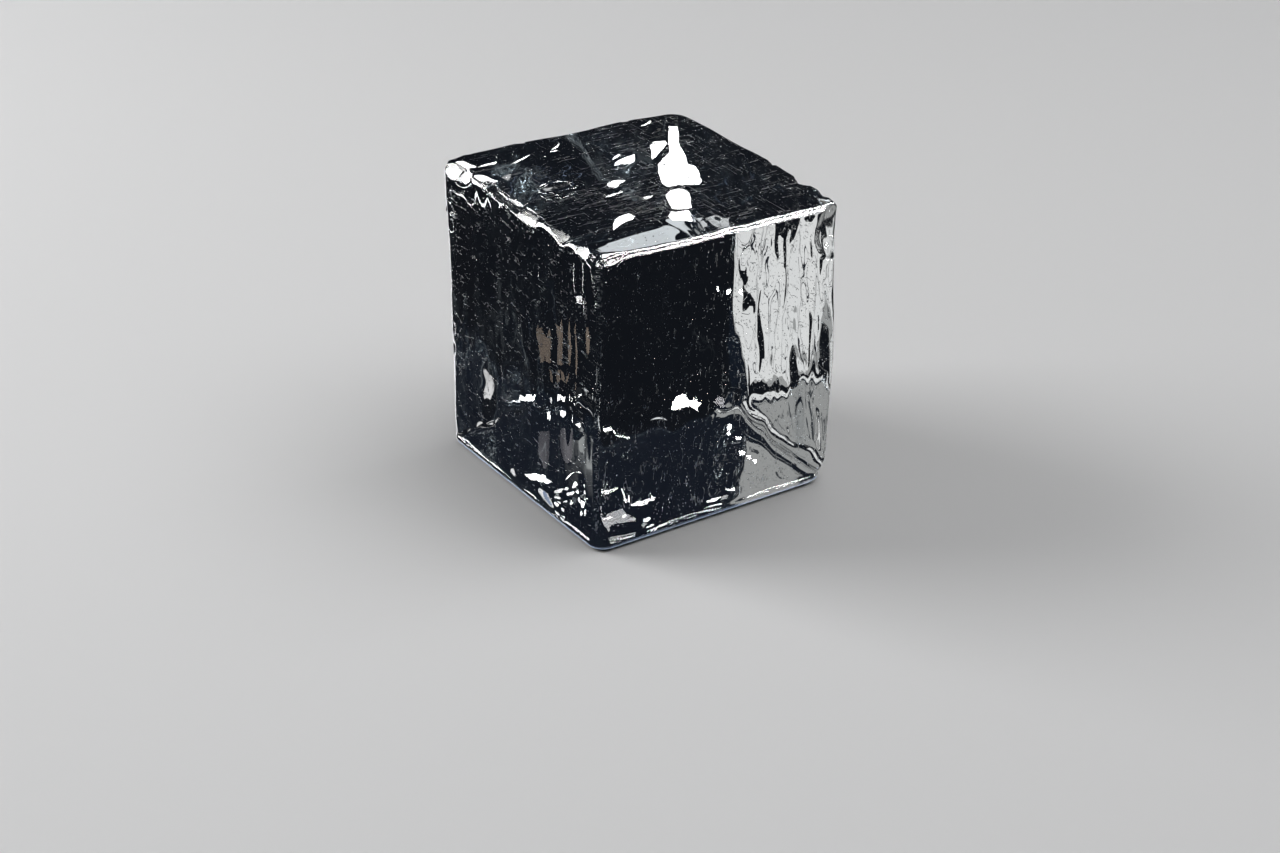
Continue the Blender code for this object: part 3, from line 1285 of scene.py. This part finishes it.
@dataclass(frozen=True)
class Card:
    """A flat glowing card, in one piece or several, that is seen only in the ice.

    Attributes:
        outlines: The corners of each piece in metres, in order round it.
        colour: Its brightness in red, green and blue.
        sees: Which rays can see it.
    """

    outlines: tuple
    colour: tuple[float, float, float]
    sees: Sees = Sees.TRANSMISSION

    def build(self, name: str) -> None:
        """Makes the card, as one mesh that only glows.

        Args:
            name: The card's name.
        """
        corners = [corner for outline in self.outlines for corner in outline]
        ends = np.cumsum([len(outline) for outline in self.outlines])
        pieces = [tuple(range(end - len(outline), end)) for end, outline in zip(ends, self.outlines)]
        mesh = bpy.data.meshes.new(name)
        mesh.from_pydata(corners, [], pieces)
        card = bpy.data.objects.new(name, mesh)
        bpy.context.scene.collection.objects.link(card)
        material = bpy.data.materials.new(name)
        material.use_nodes = True
        material.node_tree.nodes.clear()
        nodes = Nodes(material.node_tree)
        glow = nodes.add("ShaderNodeEmission", (*self.colour, 1.0), 1.0)
        nodes.add("ShaderNodeOutputMaterial", glow.outputs[0])
        material.cycles.emission_sampling = "NONE"
        mesh.materials.append(material)
        hide(card, self.sees)
        card.visible_camera = card.visible_shadow = False


def corner_pairs(row: tuple[float, ...]) -> list[tuple[float, float]]:
    """The corners of an outline that is given as one row of numbers, two a corner."""
    return list(zip(row[::2], row[1::2]))


def rectangle(across: tuple[float, float], along: tuple[float, float]) -> tuple[float, ...]:
    """The outline of a rectangle, as one row of numbers, from its ranges along its two ways."""
    return (across[0], along[0], across[1], along[0], across[1], along[1], across[0], along[1])


def white(level: float) -> tuple[float, float, float]:
    """A white brightness."""
    return (level, level, level)


def flat_card(x: tuple, y: tuple, z: float, colour: tuple, sees: Sees = Sees.TRANSMISSION) -> Card:
    """A level card from its ranges along X and Y in millimetres, and its height."""
    return Card((tuple((a * MM, b * MM, z * MM) for a, b in corner_pairs(rectangle(x, y))),), colour, sees)


def upright_card(y: float, colour: tuple, outlines: tuple, sees: Sees = Sees.TRANSMISSION) -> Card:
    """An upright card across Y, from its place along Y and its outlines in X and Z, in millimetres."""
    pieces = (tuple((a * MM, y * MM, b * MM) for a, b in corner_pairs(row)) for row in outlines)
    return Card(tuple(pieces), colour, sees)


def strip_card(left: tuple, right: tuple, height: float, colour: tuple, sees: Sees = Sees.GLOSSY) -> Card:
    """An upright rectangular card between two places.

    Args:
        left: One end of its lower side in millimetres.
        right: The other end.
        height: Its height.
        colour: Its brightness.
        sees: Which rays can see it.

    Returns:
        The card.
    """
    low = (Vector(left) * MM, Vector(right) * MM)
    rise = Vector((0.0, 0.0, height)) * MM
    return Card(((*low, low[1] + rise, low[0] + rise),), colour, sees)


def sight_card(start: tuple, sight: tuple, distance: float, x: tuple, z: tuple, colour: tuple) -> Card:
    """An upright card set off along a line of sight.

    Args:
        start: The point in millimetres that the line of sight leaves from.
        sight: Its direction.
        distance: How far along it the card stands, in millimetres.
        x: The card's range along X from the line, in millimetres.
        z: Its range along Z.
        colour: Its brightness.

    Returns:
        The card.
    """
    foot = (Vector(start) + Vector(sight).normalized() * distance) * MM
    return Card((tuple(foot + Vector((a, 0.0, b)) * MM for a, b in corner_pairs(rectangle(x, z))),), colour)


@dataclass(frozen=True)
class Mirror:
    """A side of the block that mirrors glowing cards to the viewpoint.

    Attributes:
        point: A point on the side in millimetres.
        sight: The line of sight that meets the side there.
        outwards: The side's outward direction.
        reach: How far from that point the cards stand, in millimetres.
    """

    point: tuple[float, float, float]
    sight: tuple[float, float, float]
    outwards: tuple[float, float, float]
    reach: float

    def card(self, colour: tuple[float, float, float], outlines: tuple) -> Card:
        """Makes a card that faces the mirrored line of sight.

        Args:
            colour: Its brightness in red, green and blue.
            outlines: Each piece's outline in millimetres, right of and above the line of sight.

        Returns:
            The card.
        """
        sight = Vector(self.sight).normalized()
        right = sight.cross(Vector((0.0, 0.0, 1.0))).normalized()
        up = right.cross(sight)
        sight, right, up = (axis.reflect(Vector(self.outwards)) for axis in (sight, right, up))
        middle = Vector(self.point) + sight * self.reach
        pieces = (tuple((middle + right * a + up * b) * MM for a, b in corner_pairs(row)) for row in outlines)
        return Card(tuple(pieces), colour, Sees.GLOSSY)


def ground_cards() -> dict[str, Card]:
    """The cards behind and under the block.

    The ice shows a window at its right, dark streaks in it, a grey field below it and a pale lens at the
    top's front edge. The dark flags keep these cards off the rest of the back wall's foot.

    Returns:
        Name to card.
    """
    window = ((6.0, 23.6, 0.0), (-0.4907, 0.7377, -0.4637), 70.0, (-36.0, 22.0))
    dark = (0.006, 0.0068, 0.009)
    grey = (0.345, 0.33, 0.315)
    return {
        "window_card": sight_card(*window, (5.0, 42.0), (0.8, 0.76, 0.73)),
        "low_window_card": sight_card(*window, (-6.0, 5.0), (0.36, 0.345, 0.33)),
        "window_streaks": upright_card(
            72.0,
            (0.016, 0.018, 0.024),
            (
                (-18.5, -0.3, -19.8, -4.0, -20.4, -9.1, -20.4, -13.7, -19.4, -12.0, -18.7, -7.3),
                (-22.0, -5.2, -23.0, -11.1, -22.7, -16.0, -21.9, -11.5),
                (
                    -25.2, 4.5, -26.9, 4.2, -28.2, 0.4, -27.4, -1.5, -27.0, -3.6, -28.4, -8.1,
                    -28.9, -12.5, -27.7, -15.7, -27.3, -19.2, -28.9, -24.7, -28.1, -25.1, -26.3, -21.5,
                    -26.0, -18.2, -26.7, -13.4, -26.4, -9.0, -25.9, -4.7, -26.1, -0.6,
                ),
                (
                    -29.3, 7.4, -31.0, 6.7, -32.4, 3.1, -34.5, -0.3, -36.1, -3.4, -33.7, -2.3, -31.8, 1.0,
                    -29.8, 4.4,
                ),
                (
                    -36.0, 6.7, -36.8, 6.1, -35.8, 3.9, -36.0, 1.6, -37.3, -0.5, -39.4, -1.4, -39.4, -2.2,
                    -36.9, -1.4, -35.2, 1.4, -34.7, 4.1,
                ),
                (-33.3, 7.1, -33.9, 6.8, -33.6, 4.3, -34.4, 1.2, -33.7, 1.7, -32.9, 4.5),
                (-37.0, -4.7, -39.2, -5.2, -38.5, -11.5, -36.8, -7.9),
                (-37.2, -22.4, -39.0, -20.6, -39.4, -29.5, -38.0, -28.4),
                (-26.5, -27.2, -30.1, -26.3, -35.4, -26.5, -35.5, -27.2, -31.0, -27.4, -27.1, -28.1),
            ),
        ),
        "grey_streaks": upright_card(
            71.5,
            (0.05, 0.052, 0.056),
            (
                (-20.2, 35.0, -18.0, 36.0, -19.6, 38.4, -23.0, 39.4, -24.0, 37.4, -22.4, 35.4),
                (-29.0, 39.0, -27.6, 41.0, -30.4, 43.0, -32.6, 42.0, -31.8, 39.8),
                (-41.0, 42.0, -40.2, 44.2, -43.6, 46.0, -48.4, 49.0, -49.0, 47.0, -44.6, 44.0),
                (-9.0, 30.6, -6.6, 33.4, -10.4, 36.0, -13.2, 34.4, -12.4, 31.4),
            ),
        ),
        "lens_card": flat_card((13.2, 29.0), (28.0, 34.4), -6.0, (0.8, 0.78, 0.77)),
        "back_flag": flat_card((-20.0, 45.0), (24.6, 26.4), 0.3, dark),
        "back_flag_end": flat_card((11.8, 45.0), (26.4, 29.5), 0.3, dark),
        "under_card": flat_card((-30.0, 34.0), (-26.0, 36.0), -6.5, dark),
        "foot_navy_card": flat_card((-31.0, 55.0), (-43.0, 62.0), -30.0, (1.1, 1.35, 1.85), Sees.GLOSSY),
        "grey_card": upright_card(72.0, grey, (rectangle((-60.0, 6.0), (20.0, 74.0)),)),
        "side_grey_card": strip_card(
            (-110.0, 38.0, 20.0), (-60.0, 72.0, 20.0), 62.0, grey, Sees.TRANSMISSION
        ),
    }


def rim_cards() -> dict[str, Card]:
    """The cards close to the block that its worn edges mirror as bright lines.

    Returns:
        Name to card.
    """
    return {
        "front_rim_card": strip_card((-23.5, -24.9, 49.3), (27.0, -25.6, 49.3), 2.7, white(65.0)),
        "left_rim_card": strip_card((-24.2, -18.0, 48.8), (-24.2, 30.0, 48.8), 3.5, white(48.0)),
        "left_bevel_card": strip_card((-24.2, -18.0, 52.3), (-24.2, 30.0, 52.3), 2.4, (14.0, 13.8, 13.4)),
        "knob_card": strip_card((-28.4, -23.0, 50.6), (-25.4, -28.0, 50.6), 5.0, white(36.0)),
        "left_edge_card": upright_card(
            35.0, (2.4, 2.4, 2.5), (rectangle((-24.2, 0.0), (-10.0, 45.0)),), Sees.GLOSSY
        ),
    }


def glint_cards() -> dict[str, Card]:
    """The cards that the block's flat sides mirror: glowing cards cut to the shapes of sharp glints, and of
    dull brown, grey and pale reflected patches on the walls.

    Returns:
        Name to card.
    """
    top = Mirror((4.8, -3.1, 50.0), (0.5245, 0.7649, -0.374), (0.0, 0.0, 1.0), 70.0)
    front = Mirror((-5.5, -23.6, 22.0), (0.5101, 0.7296, -0.4555), (0.0, -1.0, 0.0), 10.0)
    left = Mirror((-22.8, -5.0, 20.0), (0.4575, 0.7651, -0.4531), (-1.0, 0.0, 0.0), 10.0)
    front_foot = Mirror((-10.0, -23.6, 5.0), (0.491, 0.7188, -0.4922), (0.0, -1.0, 0.0), 10.0)
    left_foot = Mirror((-22.8, -15.0, 5.0), (0.458, 0.7404, -0.4919), (-1.0, 0.0, 0.0), 10.0)
    return {
        "top_glints": top.card(
            white(22.0),
            (
                (
                    -1.8, 10.2, -0.3, 10.4, 0.2, 8.1, 0.7, 5.9, 1.6, 4.5, 2.0, 2.6, 3.5, 2.2, 4.5, 1.0,
                    3.8, -0.3, 1.6, -0.8, -1.6, -0.9, -2.9, 0.7, -3.3, 2.5, -2.8, 3.9, -1.5, 4.8,
                    -1.9, 7.9,
                ),
                (-0.3, -2.4, 1.4, -2.1, 2.5, -3.1, 3.3, -4.8, -1.0, -4.9, -1.4, -3.7),
                (-1.3, -5.4, 2.6, -5.2, 3.4, -6.2, 3.4, -7.7, -0.7, -7.8, -1.7, -6.5),
                (-5.4, 5.4, -4.6, 7.1, -2.5, 7.7, -2.0, 6.8, -3.0, 5.1, -4.7, 4.2),
                (-12.1, 4.0, -11.7, 4.9, -10.6, 5.3, -11.0, 4.4),
                (-11.5, 2.4, -11.0, 3.5, -8.8, 4.6, -7.5, 4.8, -7.6, 3.9, -8.7, 3.0),
                (-13.1, -1.7, -11.8, -1.0, -9.8, -0.5, -9.6, -0.7, -11.4, -1.5),
                (-13.6, -2.8, -12.0, -2.2, -10.1, -1.9, -10.9, -2.3, -12.7, -2.9),
                (-11.1, -9.3, -11.1, -7.8, -10.0, -6.7, -8.7, -6.1, -8.0, -6.8, -8.3, -7.7, -10.0, -8.5),
                (-6.7, -3.6, -5.8, -3.3, -4.7, -3.4, -5.1, -4.0, -6.2, -4.2),
                (-30.8, 2.9, -29.7, 3.8, -28.2, 4.4, -27.3, 4.6, -28.6, 3.8, -29.9, 3.1),
                (-37.5, 1.6, -35.6, 2.4, -33.4, 3.2, -33.2, 2.8, -35.1, 2.0),
                (-24.0, 5.0, -23.3, 5.4, -22.0, 5.5, -22.7, 5.1),
                (-23.3, 5.8, -22.7, 6.4, -22.1, 6.6, -22.3, 6.0),
                (-7.0, 9.8, -6.1, 10.6, -4.8, 11.2, -5.2, 10.6, -6.3, 10.0),
                (-25.4, -1.4, -24.8, -1.1, -23.8, -1.2, -24.4, -1.6),
                (-24.6, -3.3, -23.7, -2.8, -22.2, -2.9, -23.5, -3.1),
                (
                    -41.1, 0.8, -40.1, 2.0, -38.3, 2.0, -37.6, 1.6, -39.0, 1.4, -39.9, 0.8, -38.7, 0.5,
                    -35.2, -0.1, -33.2, -0.2, -34.3, -0.9, -35.2, -1.5, -36.5, -2.2, -37.1, -1.5,
                    -38.6, -0.5, -39.9, 0.2,
                ),
                (
                    -29.2, -5.7, -27.7, -6.3, -25.1, -8.7, -23.5, -10.0, -24.3, -10.0, -26.4, -8.2,
                    -28.6, -6.7,
                ),
                (-25.4, -1.2, -24.0, -0.9, -23.8, -1.3, -24.7, -1.5),
                (-22.5, -1.5, -21.6, -1.3, -19.2, -1.8, -20.3, -1.8),
            ),
        ),
        "front_glints": front.card(
            white(60.0),
            (
                (
                    -2.5, -1.2, -2.3, -0.1, -1.7, 0.4, -0.3, 0.8, 0.1, 0.6, -0.4, -0.3, -0.4, -1.8,
                    -1.5, -1.5,
                ),
                (6.1, 18.0, 6.4, 18.2, 6.9, 18.1, 7.5, 17.6, 7.3, 17.1, 6.7, 17.0, 6.1, 17.5),
                (-15.9, -4.8, -12.2, -5.0, -10.4, -5.2, -9.5, -5.0, -9.7, -5.4, -11.2, -5.7, -12.9, -5.4),
            ),
        ),
        "left_glints": left.card(
            white(24.0),
            (
                (3.9, 0.4, 4.8, 0.2, 4.9, -0.7, 4.2, -0.6),
                (-2.6, -0.9, -2.3, 0.2, -1.5, 0.4, -1.9, -0.6),
                (5.6, 2.1, 6.3, 2.0, 6.8, 1.2, 6.1, 0.9),
                (10.6, 2.6, 11.3, 2.3, 11.1, 1.7, 10.7, 2.0),
                (2.2, -2.2, 3.0, -2.0, 4.1, -2.1, 4.3, -2.8, 3.4, -3.2, 2.4, -2.9),
                (12.8, 14.2, 16.2, 13.8, 16.0, 12.6, 14.4, 12.8, 12.8, 13.4),
                (9.4, 13.8, 11.3, 13.2, 11.2, 12.8, 9.6, 13.2),
                (9.1, 21.0, 10.0, 20.6, 10.4, 16.8, 10.8, 13.4, 10.0, 15.2, 9.3, 18.0),
                (-12.4, 3.1, -11.6, 3.7, -10.3, 4.2, -9.8, 5.4, -10.6, 5.0, -11.4, 4.5),
                (-13.9, 7.5, -12.4, 8.8, -11.5, 7.2, -11.6, 5.7, -12.7, 5.5, -13.4, 6.2),
                (
                    -12.1, 33.0, -10.7, 32.6, -9.5, 31.2, -7.9, 30.2, -7.8, 29.9, -8.9, 30.4, -9.9, 31.3,
                    -10.8, 32.2,
                ),
            ),
        ),
        "front_foot_glints": front_foot.card(
            white(60.0),
            (
                (
                    -9.4, 1.2, -10.1, 0.7, -11.8, 0.8, -13.0, 1.9, -12.8, 2.5, -12.1, 1.9, -10.7, 1.3,
                    -9.5, 1.6,
                ),
                (-9.2, 1.2, -8.4, 2.1, -7.2, 1.9, -7.6, 1.2),
                (-6.6, 1.0, -2.8, 1.6, -2.0, 1.8, -1.9, 1.0, -3.6, 1.0, -6.1, 0.7),
                (-1.7, 2.2, 1.2, 1.3, 0.5, 0.7, -1.6, 1.1),
                (-11.9, -3.0, -10.9, -2.6, -8.5, -2.6, -10.6, -3.4),
                (-1.7, -4.5, -1.3, -3.7, -0.5, -3.4, 0.4, -4.1, 0.5, -4.8, -0.2, -5.3, -1.1, -5.3),
                (6.7, -0.3, 8.2, 0.1, 10.3, 0.4, 9.4, -0.3, 8.1, -0.6),
                (9.9, 2.5, 11.3, 2.1, 12.2, 2.5, 12.3, 1.9, 11.1, 1.6),
                (13.1, 8.8, 13.5, 9.0, 14.1, 8.6, 13.8, 8.1, 13.0, 8.2),
                (8.7, 13.3, 10.2, 13.9, 11.3, 13.3, 10.6, 12.6, 8.8, 12.6),
                (8.2, 12.1, 9.9, 12.5, 10.7, 12.1, 9.4, 11.7),
                (12.0, 11.6, 14.0, 11.3, 14.0, 10.7, 12.8, 10.7),
                (14.1, 8.2, 14.6, 8.3, 14.9, 7.6, 14.2, 7.5),
                (15.2, 7.4, 16.0, 7.4, 16.1, 6.8, 15.5, 6.8),
            ),
        ),
        "left_foot_glints": left_foot.card(
            white(24.0),
            (
                (-7.1, 5.1, -6.1, 5.0, -3.2, 4.5, 0.8, 4.1, -4.4, 3.6, -6.1, 3.9),
                (0.5, 2.1, 1.3, 1.9, 1.6, 2.3, 1.3, 2.6, 0.7, 2.5),
                (-0.4, 0.9, 0.7, 1.6, 1.3, 1.2, 1.1, 0.9),
                (1.6, 0.2, 1.8, 0.0, 3.4, -0.1, 3.9, 0.1, 2.2, 0.3),
                (-2.4, -0.9, -1.0, -0.4, -0.5, -0.9, -1.4, -1.5, -2.1, -1.4),
                (-0.4, -0.1, 0.4, 0.2, 0.9, -0.5, 0.2, -0.7),
                (-0.9, -1.8, 0.1, -1.6, 0.3, -2.1, -0.6, -2.3),
            ),
        ),
        # A pale glowing card that the front wall's foot mirrors: the pale patch there is a reflection of it.
        "front_foot_pale_reflection": replace(front_foot, reach=10.2).card(
            (17.0, 17.0, 17.6),
            (
                (
                    -15.2, -0.4, -14.1, -1.1, -12.4, -1.2, -10.8, -1.8, -9.2, -2.5, -7.7, -2.1, -6.9, -2.6,
                    -5.5, -2.4, -4.2, -3.5, -4.0, -4.8, -7.0, -4.9, -9.9, -4.7, -12.1, -4.0, -13.9, -3.5,
                    -15.0, -3.3,
                ),
            ),
        ),
        # A pale glowing card that the front wall mirrors as a pale reflected patch.
        "front_pale_reflections": front.card(
            (13.0, 13.0, 13.5),
            (
                (3.1, 0.3, 3.4, 1.4, 3.9, 1.8, 4.4, 1.6, 4.6, 0.8, 4.3, 0.0, 3.7, -0.2),
            ),
        ),
        # Brown glowing cards that the left wall mirrors: the brown patches on it are reflections of them.
        "left_brown_reflections": left.card(
            (1.8, 1.45, 1.15),
            (
                (-10.3, 11.1, -8.9, 11.0, -9.0, 8.8, -10.2, 9.1),
                (2.5, 9.0, 3.4, 10.2, 4.8, 11.0, 5.5, 9.6, 5.5, 7.0, 5.0, 4.8, 4.0, 4.8, 2.5, 5.0),
                (3.7, 4.1, 5.3, 3.7, 5.4, 2.9, 4.9, 2.0, 3.9, 2.6),
            ),
        ),
        # A grey glowing card that the left wall mirrors as a grey reflected patch.
        "left_grey_reflection": left.card(
            (0.8, 0.77, 0.82),
            (
                (
                    -0.4, -9.0, 1.3, -5.2, 3.4, -4.6, 4.6, -5.0, 4.8, -6.8, 4.5, -10.3, 2.8, -11.2,
                    0.4, -11.7,
                ),
            ),
        ),
    }


@dataclass
class Studio:
    """The stage: a plain pale floor, dark surroundings that only the ice sees, soft lamps and cards.

    The floor is hidden from the rays that pass through the ice or mirror in it, so the ice shows dark glass
    depths with the lamps bright in them, as clear ice does on a dark ground.

    Attributes:
        floor_side: Side of the square floor in metres.
        floor_drop: How far below the block it lies, in metres.
        floor_colour: Its colour.
        floor_roughness: Its roughness.
        above: Colour of the surroundings overhead.
        below: Their colour below.
        horizon: Heights of a direction between which one turns into the other.
        softboxes: Name to lamp.
        cards: Name to card.
        bounces: How many times a ray may be bent or mirrored in the ice.
    """

    floor_side: float = 6.0
    floor_drop: float = 0.2 * MM
    floor_colour: tuple = (0.75, 0.75, 0.75, 1.0)
    floor_roughness: float = 0.8
    above: tuple = (0.0085, 0.0105, 0.016, 1.0)
    below: tuple = (0.006, 0.0068, 0.009, 1.0)
    horizon: tuple[float, float] = (-0.3, 0.5)
    softboxes: dict = field(
        default_factory=lambda: {
            "key": Softbox((-0.62, 0.62, 0.48), 0.75, (0.45, 0.45), 6.5, Sees.DIFFUSE),
            "fill": Softbox((0.35, -0.2, 0.9), 0.9, (0.9, 0.9), 2.2, Sees.DIFFUSE),
            "overhead_box": Softbox((0.44, 0.0, 0.88), 0.5, (0.34, 0.56), 60.0, Sees.GLOSSY),
            "foot_front_strip": Softbox((0.485, -0.857, -0.165), 0.5, (0.36, 0.04), 60.0, Sees.GLOSSY),
            "foot_left_strip": Softbox((-0.64, 0.74, -0.18), 0.5, (0.36, 0.06), 30.0, Sees.GLOSSY),
            "corner_grey_box": Softbox((-0.305, 0.874, 0.365), 0.5, (0.16, 0.16), 9.0, Sees.GLOSSY),
            "low_front_strip": Softbox((0.49, -0.42, -0.77), 0.5, (0.08, 0.08), 10.0, Sees.GLOSSY),
            "low_left_strip": Softbox((-0.20, 0.74, -0.65), 0.5, (0.08, 0.08), 5.0, Sees.GLOSSY),
            "low_corner_strip": Softbox((-0.74, -0.49, -0.46), 0.5, (0.05, 0.05), 12.0, Sees.GLOSSY),
        }
    )
    cards: dict = field(default_factory=lambda: {**ground_cards(), **rim_cards(), **glint_cards()})
    bounces: int = 24

    def build(self) -> None:
        """Makes the floor, the world, the lamps and the cards."""
        self._floor()
        self._world()
        for name, softbox in self.softboxes.items():
            softbox.build(name)
        for name, card in self.cards.items():
            card.build(name)
        LOG.info("stage: floor, %d lamps, %d cards", len(self.softboxes), len(self.cards))
        cycles = bpy.context.scene.cycles
        cycles.max_bounces = cycles.transmission_bounces = self.bounces
        cycles.glossy_bounces = self.bounces // 2
        cycles.caustics_reflective = cycles.caustics_refractive = False
        bpy.context.scene.view_settings.view_transform = "Standard"

    def _floor(self) -> None:
        """Makes the floor, which only the camera and scattered light see."""
        half = self.floor_side / 2.0
        corners = [(-half, -half, 0.0), (half, -half, 0.0), (half, half, 0.0), (-half, half, 0.0)]
        mesh = bpy.data.meshes.new("floor")
        mesh.from_pydata(corners, [], [(0, 1, 2, 3)])
        floor = bpy.data.objects.new("floor", mesh)
        floor.location.z = -self.floor_drop
        bpy.context.scene.collection.objects.link(floor)
        material = bpy.data.materials.new("pale_floor")
        material.use_nodes = True
        shader = material.node_tree.nodes["Principled BSDF"]
        shader.inputs["Base Color"].default_value = self.floor_colour
        shader.inputs["Roughness"].default_value = self.floor_roughness
        shader.inputs["Specular IOR Level"].default_value = 0.0
        mesh.materials.append(material)
        hide(floor, Sees.DIFFUSE)

    def _world(self) -> None:
        """Sets the dark surroundings, a little bluer and lighter overhead."""
        world = bpy.data.worlds.new("dark_room")
        bpy.context.scene.world = world
        world.use_nodes = True
        nodes = Nodes(world.node_tree)
        direction = nodes.add("ShaderNodeTexCoord").outputs["Generated"]
        height = nodes.add("ShaderNodeSeparateXYZ", direction).outputs[2]
        low = nodes.fall(height, *self.horizon)
        mix = nodes.add("ShaderNodeMixRGB", low, self.above, self.below)
        nodes.feed(world.node_tree.nodes["Background"].inputs["Color"], mix.outputs[0])


@dataclass(frozen=True)
class Viewpoint:
    """The camera: its lens, where it looks and how far off it stands.

    Attributes:
        azimuth: Direction of view in degrees, 0 along +Y and positive towards -X.
        elevation: Degrees that the camera looks down.
        roll: Degrees that it is turned about its own axis.
        distance: From the block's middle, in metres.
        lens: Focal length in millimetres.
        sensor: The sensor's width in millimetres.
        middle: Where the block's middle falls in the picture, as pixels.
        frame: The picture's size in pixels.
        clip: Nearest and farthest distance that it shows, in metres.
    """

    azimuth: float = -33.63
    elevation: float = 27.63
    roll: float = 0.90
    distance: float = 0.4037
    lens: float = 70.0
    sensor: float = 36.0
    middle: tuple[float, float] = (638.3, 323.3)
    frame: tuple[int, int] = (1280, 853)
    clip: tuple[float, float] = (0.01, 20.0)

    def build(self, target: Vector) -> bpy.types.Object:
        """Makes the camera so that the target falls on its pixel, and makes it the scene's own.

        The focal length in pixels is lens / sensor * frame width. The camera stands back from the target by
        its distance times right * across - up * down - back, where across and down are in focal lengths.

        Args:
            target: The block's middle.

        Returns:
            The camera.
        """
        azimuth, elevation, roll = (math.radians(a) for a in (self.azimuth, self.elevation, self.roll))
        back = Vector(
            (
                math.sin(azimuth) * math.cos(elevation),
                -math.cos(azimuth) * math.cos(elevation),
                math.sin(elevation),
            )
        )
        level = (-back).cross(Vector((0, 0, 1))).normalized()
        upright = level.cross(-back)
        right = math.cos(roll) * level + math.sin(roll) * upright
        up = -math.sin(roll) * level + math.cos(roll) * upright
        focal = self.lens / self.sensor * self.frame[0]
        across = (self.middle[0] - self.frame[0] / 2) / focal
        down = (self.middle[1] - self.frame[1] / 2) / focal
        ray = right * across - up * down - back
        camera = bpy.data.cameras.new("camera")
        camera.lens, camera.sensor_width = self.lens, self.sensor
        camera.clip_start, camera.clip_end = self.clip
        made = bpy.data.objects.new("camera", camera)
        turned = Matrix((right, up, back)).transposed().to_4x4()
        made.matrix_world = Matrix.Translation(target - ray * self.distance) @ turned
        bpy.context.scene.collection.objects.link(made)
        bpy.context.scene.camera = made
        return made


def main() -> None:
    """Builds the block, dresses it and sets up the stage."""
    logging.basicConfig(level=logging.INFO, format="%(name)s: %(message)s")
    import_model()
    ice = IceBlock()
    block = ice.build()
    block.data.materials.append(ClearIce().build())
    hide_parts("ice_block")
    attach(block, "root")
    LOG.info("%s: %d faces", block.name, len(block.data.polygons))
    Viewpoint().build(Vector((0.0, 0.0, ice.form.height / 2.0)))
    Studio().build()


if __name__ == "__main__":
    main()
